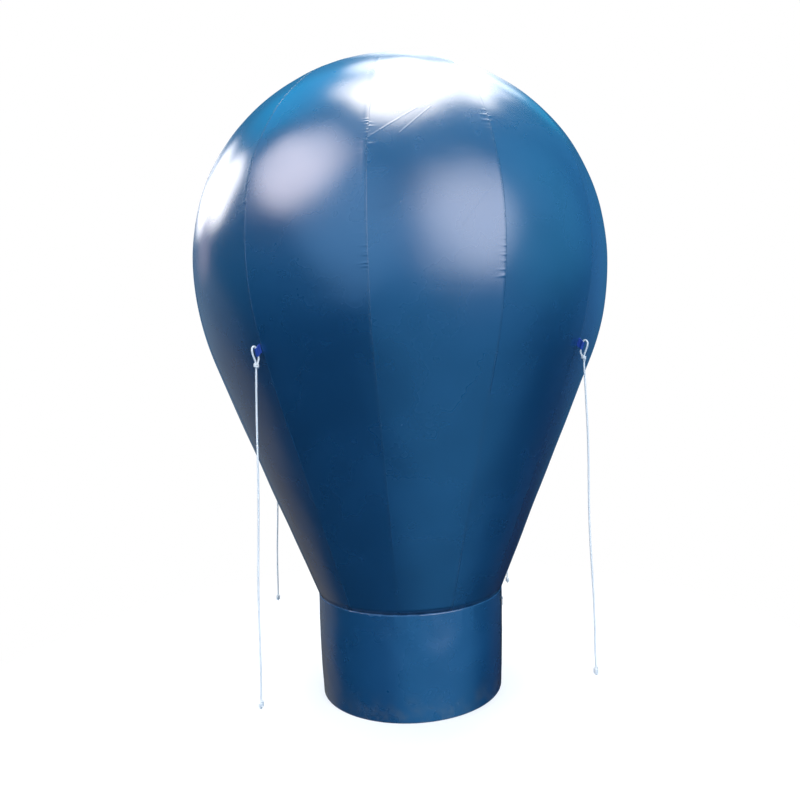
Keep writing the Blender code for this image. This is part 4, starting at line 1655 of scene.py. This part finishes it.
# %% Lamps and the colours of the room
# name: azimuth (0 towards the camera, 90 towards +X), elevation, inner and outer half angle, colour
LAMPS = {
    "overhead": (350, 85, 9, 20, (6.6, 6.0, 5.4)),
    "overhead_left": (238, 77, 3, 12, (3.8, 3.3, 2.9)),
    "high_right": (124, 69, 9, 17, (4.0, 3.8, 3.6)),
    "high_behind": (174, 64, 7, 17, (3.4, 3.2, 3.0)),
    "high_back": (146, 56, 4, 12, (2.4, 2.4, 2.5)),
    "back_middle": (158, 44, 2, 9, (2.0, 2.0, 2.0)),
    "back": (174, 36, 3, 12, (1.6, 1.6, 1.6)),
    "back_low": (150, 36, 3, 10, (0.0, 0.20, 0.32)),
    "high_left": (228, 56, 4, 24, (0.0, 0.3, 0.6)),
    "left": (297, 38, 2, 24, (3.7, 3.3, 3.5)),
    "behind_left_far": (203, 17, 2, 8, (1.4, 1.4, 1.4)),
    "behind_left": (222, 22, 4, 11, (3.6, 3.5, 3.6)),
    "behind_left_near": (240, 25, 4, 12, (4.4, 4.2, 4.2)),
    "behind_left_low": (232, 12, 2, 10, (0.40, 0.30, 0.34)),
    "front": (36, 17, 6, 35, (2.20, 2.16, 2.40)),
    "front_left": (335, 14, 6, 36, (0.3, 0.6, 1.0)),
    "right_side": (80, 18, 4, 36, (0.05, 0.30, 0.50)),
    "behind_right": (125, 10, 4, 32, (0.01, 0.05, 0.15)),
    "floor_in_front": (32, -20, 14, 62, (0.06, 0.28, 0.55)),
    "floor_at_left": (225, -16, 4, 36, (0.16, 0.14, 0.12)),
    "floor_at_right": (137, -16, 4, 36, (0.02, 0.01, 0.02)),
}

# The room between the lamps, from straight down (0) over level (0.5) to straight up (1)
ROOM = [
    (0.00, (0.01, 0.02, 0.01)),
    (0.30, (0.00, 0.01, 0.02)),
    (0.50, (0.02, 0.13, 0.27)),
    (0.70, (0.03, 0.15, 0.30)),
    (1.00, (0.04, 0.38, 0.72)),
]

print("soft lamps:", len(LAMPS))

# %% Effect: soft lamp
soft_lamp, given, gives = new_group(
    "soft_lamp",
    [
        ("Direction", "Vector", None),
        ("Middle", "Vector", None),
        ("Inner", "Float", 0.98),
        ("Outer", "Float", 0.9),
        ("Colour", "Color", None),
    ],
    [("Light", "Color")],
)
facing = vector_calc(soft_lamp, "DOT_PRODUCT", given["Direction"], given["Middle"], output=1)
lit = fade(soft_lamp, facing, given["Outer"], given["Inner"])
wire(soft_lamp, scaled_vector(soft_lamp, given["Colour"], lit), gives["Light"])


# %% World


def light_the_world():
    world = bpy.data.worlds.new("studio")
    bpy.context.scene.world = world
    world.use_nodes = True
    tree = world.node_tree
    tree.nodes.clear()
    direction = tree.nodes.new("ShaderNodeTexCoord").outputs["Generated"]
    ramp = tree.nodes.new("ShaderNodeValToRGB")
    while len(ramp.color_ramp.elements) < len(ROOM):
        ramp.color_ramp.elements.new(0.5)
    for element, (position, colour) in zip(ramp.color_ramp.elements, ROOM):
        element.position = position
        element.color = (*colour, 1.0)
    wire(tree, calc(tree, "MULTIPLY_ADD", separate(tree, direction)["Z"], 0.5, 0.5), ramp.inputs[0])
    total = ramp.outputs["Color"]
    for azimuth, elevation, inner, outer, colour in LAMPS.values():
        around, up = math.radians(azimuth), math.radians(elevation)
        middle = (math.sin(around) * math.cos(up), -math.cos(around) * math.cos(up), math.sin(up))
        lamp = use_group(
            tree,
            soft_lamp,
            direction=direction,
            middle=middle,
            inner=math.cos(math.radians(inner)),
            outer=math.cos(math.radians(outer)),
            colour=(*colour, 1.0),
        )
        total = vector_calc(tree, "ADD", total, lamp["Light"])
    room = tree.nodes.new("ShaderNodeBackground")
    wire(tree, total, room.inputs["Color"])
    paper = tree.nodes.new("ShaderNodeBackground")
    paper.inputs["Color"].default_value = (1.0, 1.0, 1.0, 1.0)
    choice = tree.nodes.new("ShaderNodeMixShader")
    wire(tree, tree.nodes.new("ShaderNodeLightPath").outputs["Is Camera Ray"], choice.inputs[0])
    wire(tree, room.outputs[0], choice.inputs[1])
    wire(tree, paper.outputs[0], choice.inputs[2])
    end = tree.nodes.new("ShaderNodeOutputWorld")
    wire(tree, choice.outputs[0], end.inputs[0])


light_the_world()
bpy.context.scene.view_settings.view_transform = "Standard"
print("world nodes:", len(bpy.context.scene.world.node_tree.nodes))

# %% Neutral light for matt surfaces
# name: azimuth, elevation, angular size, strength
FILLS = {
    "fill_front": (10, 34, 80, 1.6),
    "fill_above": (0, 84, 100, 1.2),
    "fill_behind": (190, 34, 90, 0.9),
}


def add_fills():
    """Wide soft lights that no gloss shows, so they brighten ropes and cloth without a highlight."""
    for name, (azimuth, elevation, size, strength) in FILLS.items():
        light = bpy.data.lights.new(name, "SUN")
        light.angle = math.radians(size)
        light.energy = strength
        fill = bpy.data.objects.new(name, light)
        fill.rotation_euler = (math.radians(90 - elevation), 0.0, math.radians(azimuth))
        fill.visible_glossy = False
        bpy.context.scene.collection.objects.link(fill)


add_fills()
print("neutral lights:", list(FILLS))

# %% Floor
FLOOR_RADIUS = 6.0
FLOOR_DROP = 0.0006
FLOOR_FADE = (0.6, 2.4, 0.55, 1.0)  # from and to these distances, from and to these shares of paper
FLOOR_WHITE = (0.90, 0.90, 0.90, 1.0)


def floor_finish():
    material = bpy.data.materials.new("studio_floor")
    material.use_nodes = True
    tree = material.node_tree
    tree.nodes.clear()
    place = object_place(tree)
    out = vector_calc(tree, "LENGTH", place, output=1)
    lit = tree.nodes.new("ShaderNodeBsdfDiffuse")
    lit.inputs["Color"].default_value = FLOOR_WHITE
    paper = tree.nodes.new("ShaderNodeEmission")
    paper.inputs["Color"].default_value = (1.0, 1.0, 1.0, 1.0)
    seen = tree.nodes.new("ShaderNodeMixShader")
    wire(tree, fade(tree, out, *FLOOR_FADE), seen.inputs[0])
    wire(tree, lit.outputs[0], seen.inputs[1])
    wire(tree, paper.outputs[0], seen.inputs[2])
    end = tree.nodes.new("ShaderNodeOutputMaterial")
    wire(tree, seen.outputs[0], end.inputs[0])
    return material


bm = bmesh.new()
bmesh.ops.create_circle(bm, cap_ends=True, segments=96, radius=FLOOR_RADIUS)
bmesh.ops.translate(bm, vec=(0, 0, -FLOOR_DROP), verts=bm.verts)
floor = bpy.data.objects.new("floor", mesh_of(bm, "floor"))
floor.data.materials.append(floor_finish())
floor.visible_diffuse = False
floor.visible_glossy = False
bpy.context.scene.collection.objects.link(floor)
print("floor radius:", FLOOR_RADIUS, "m")
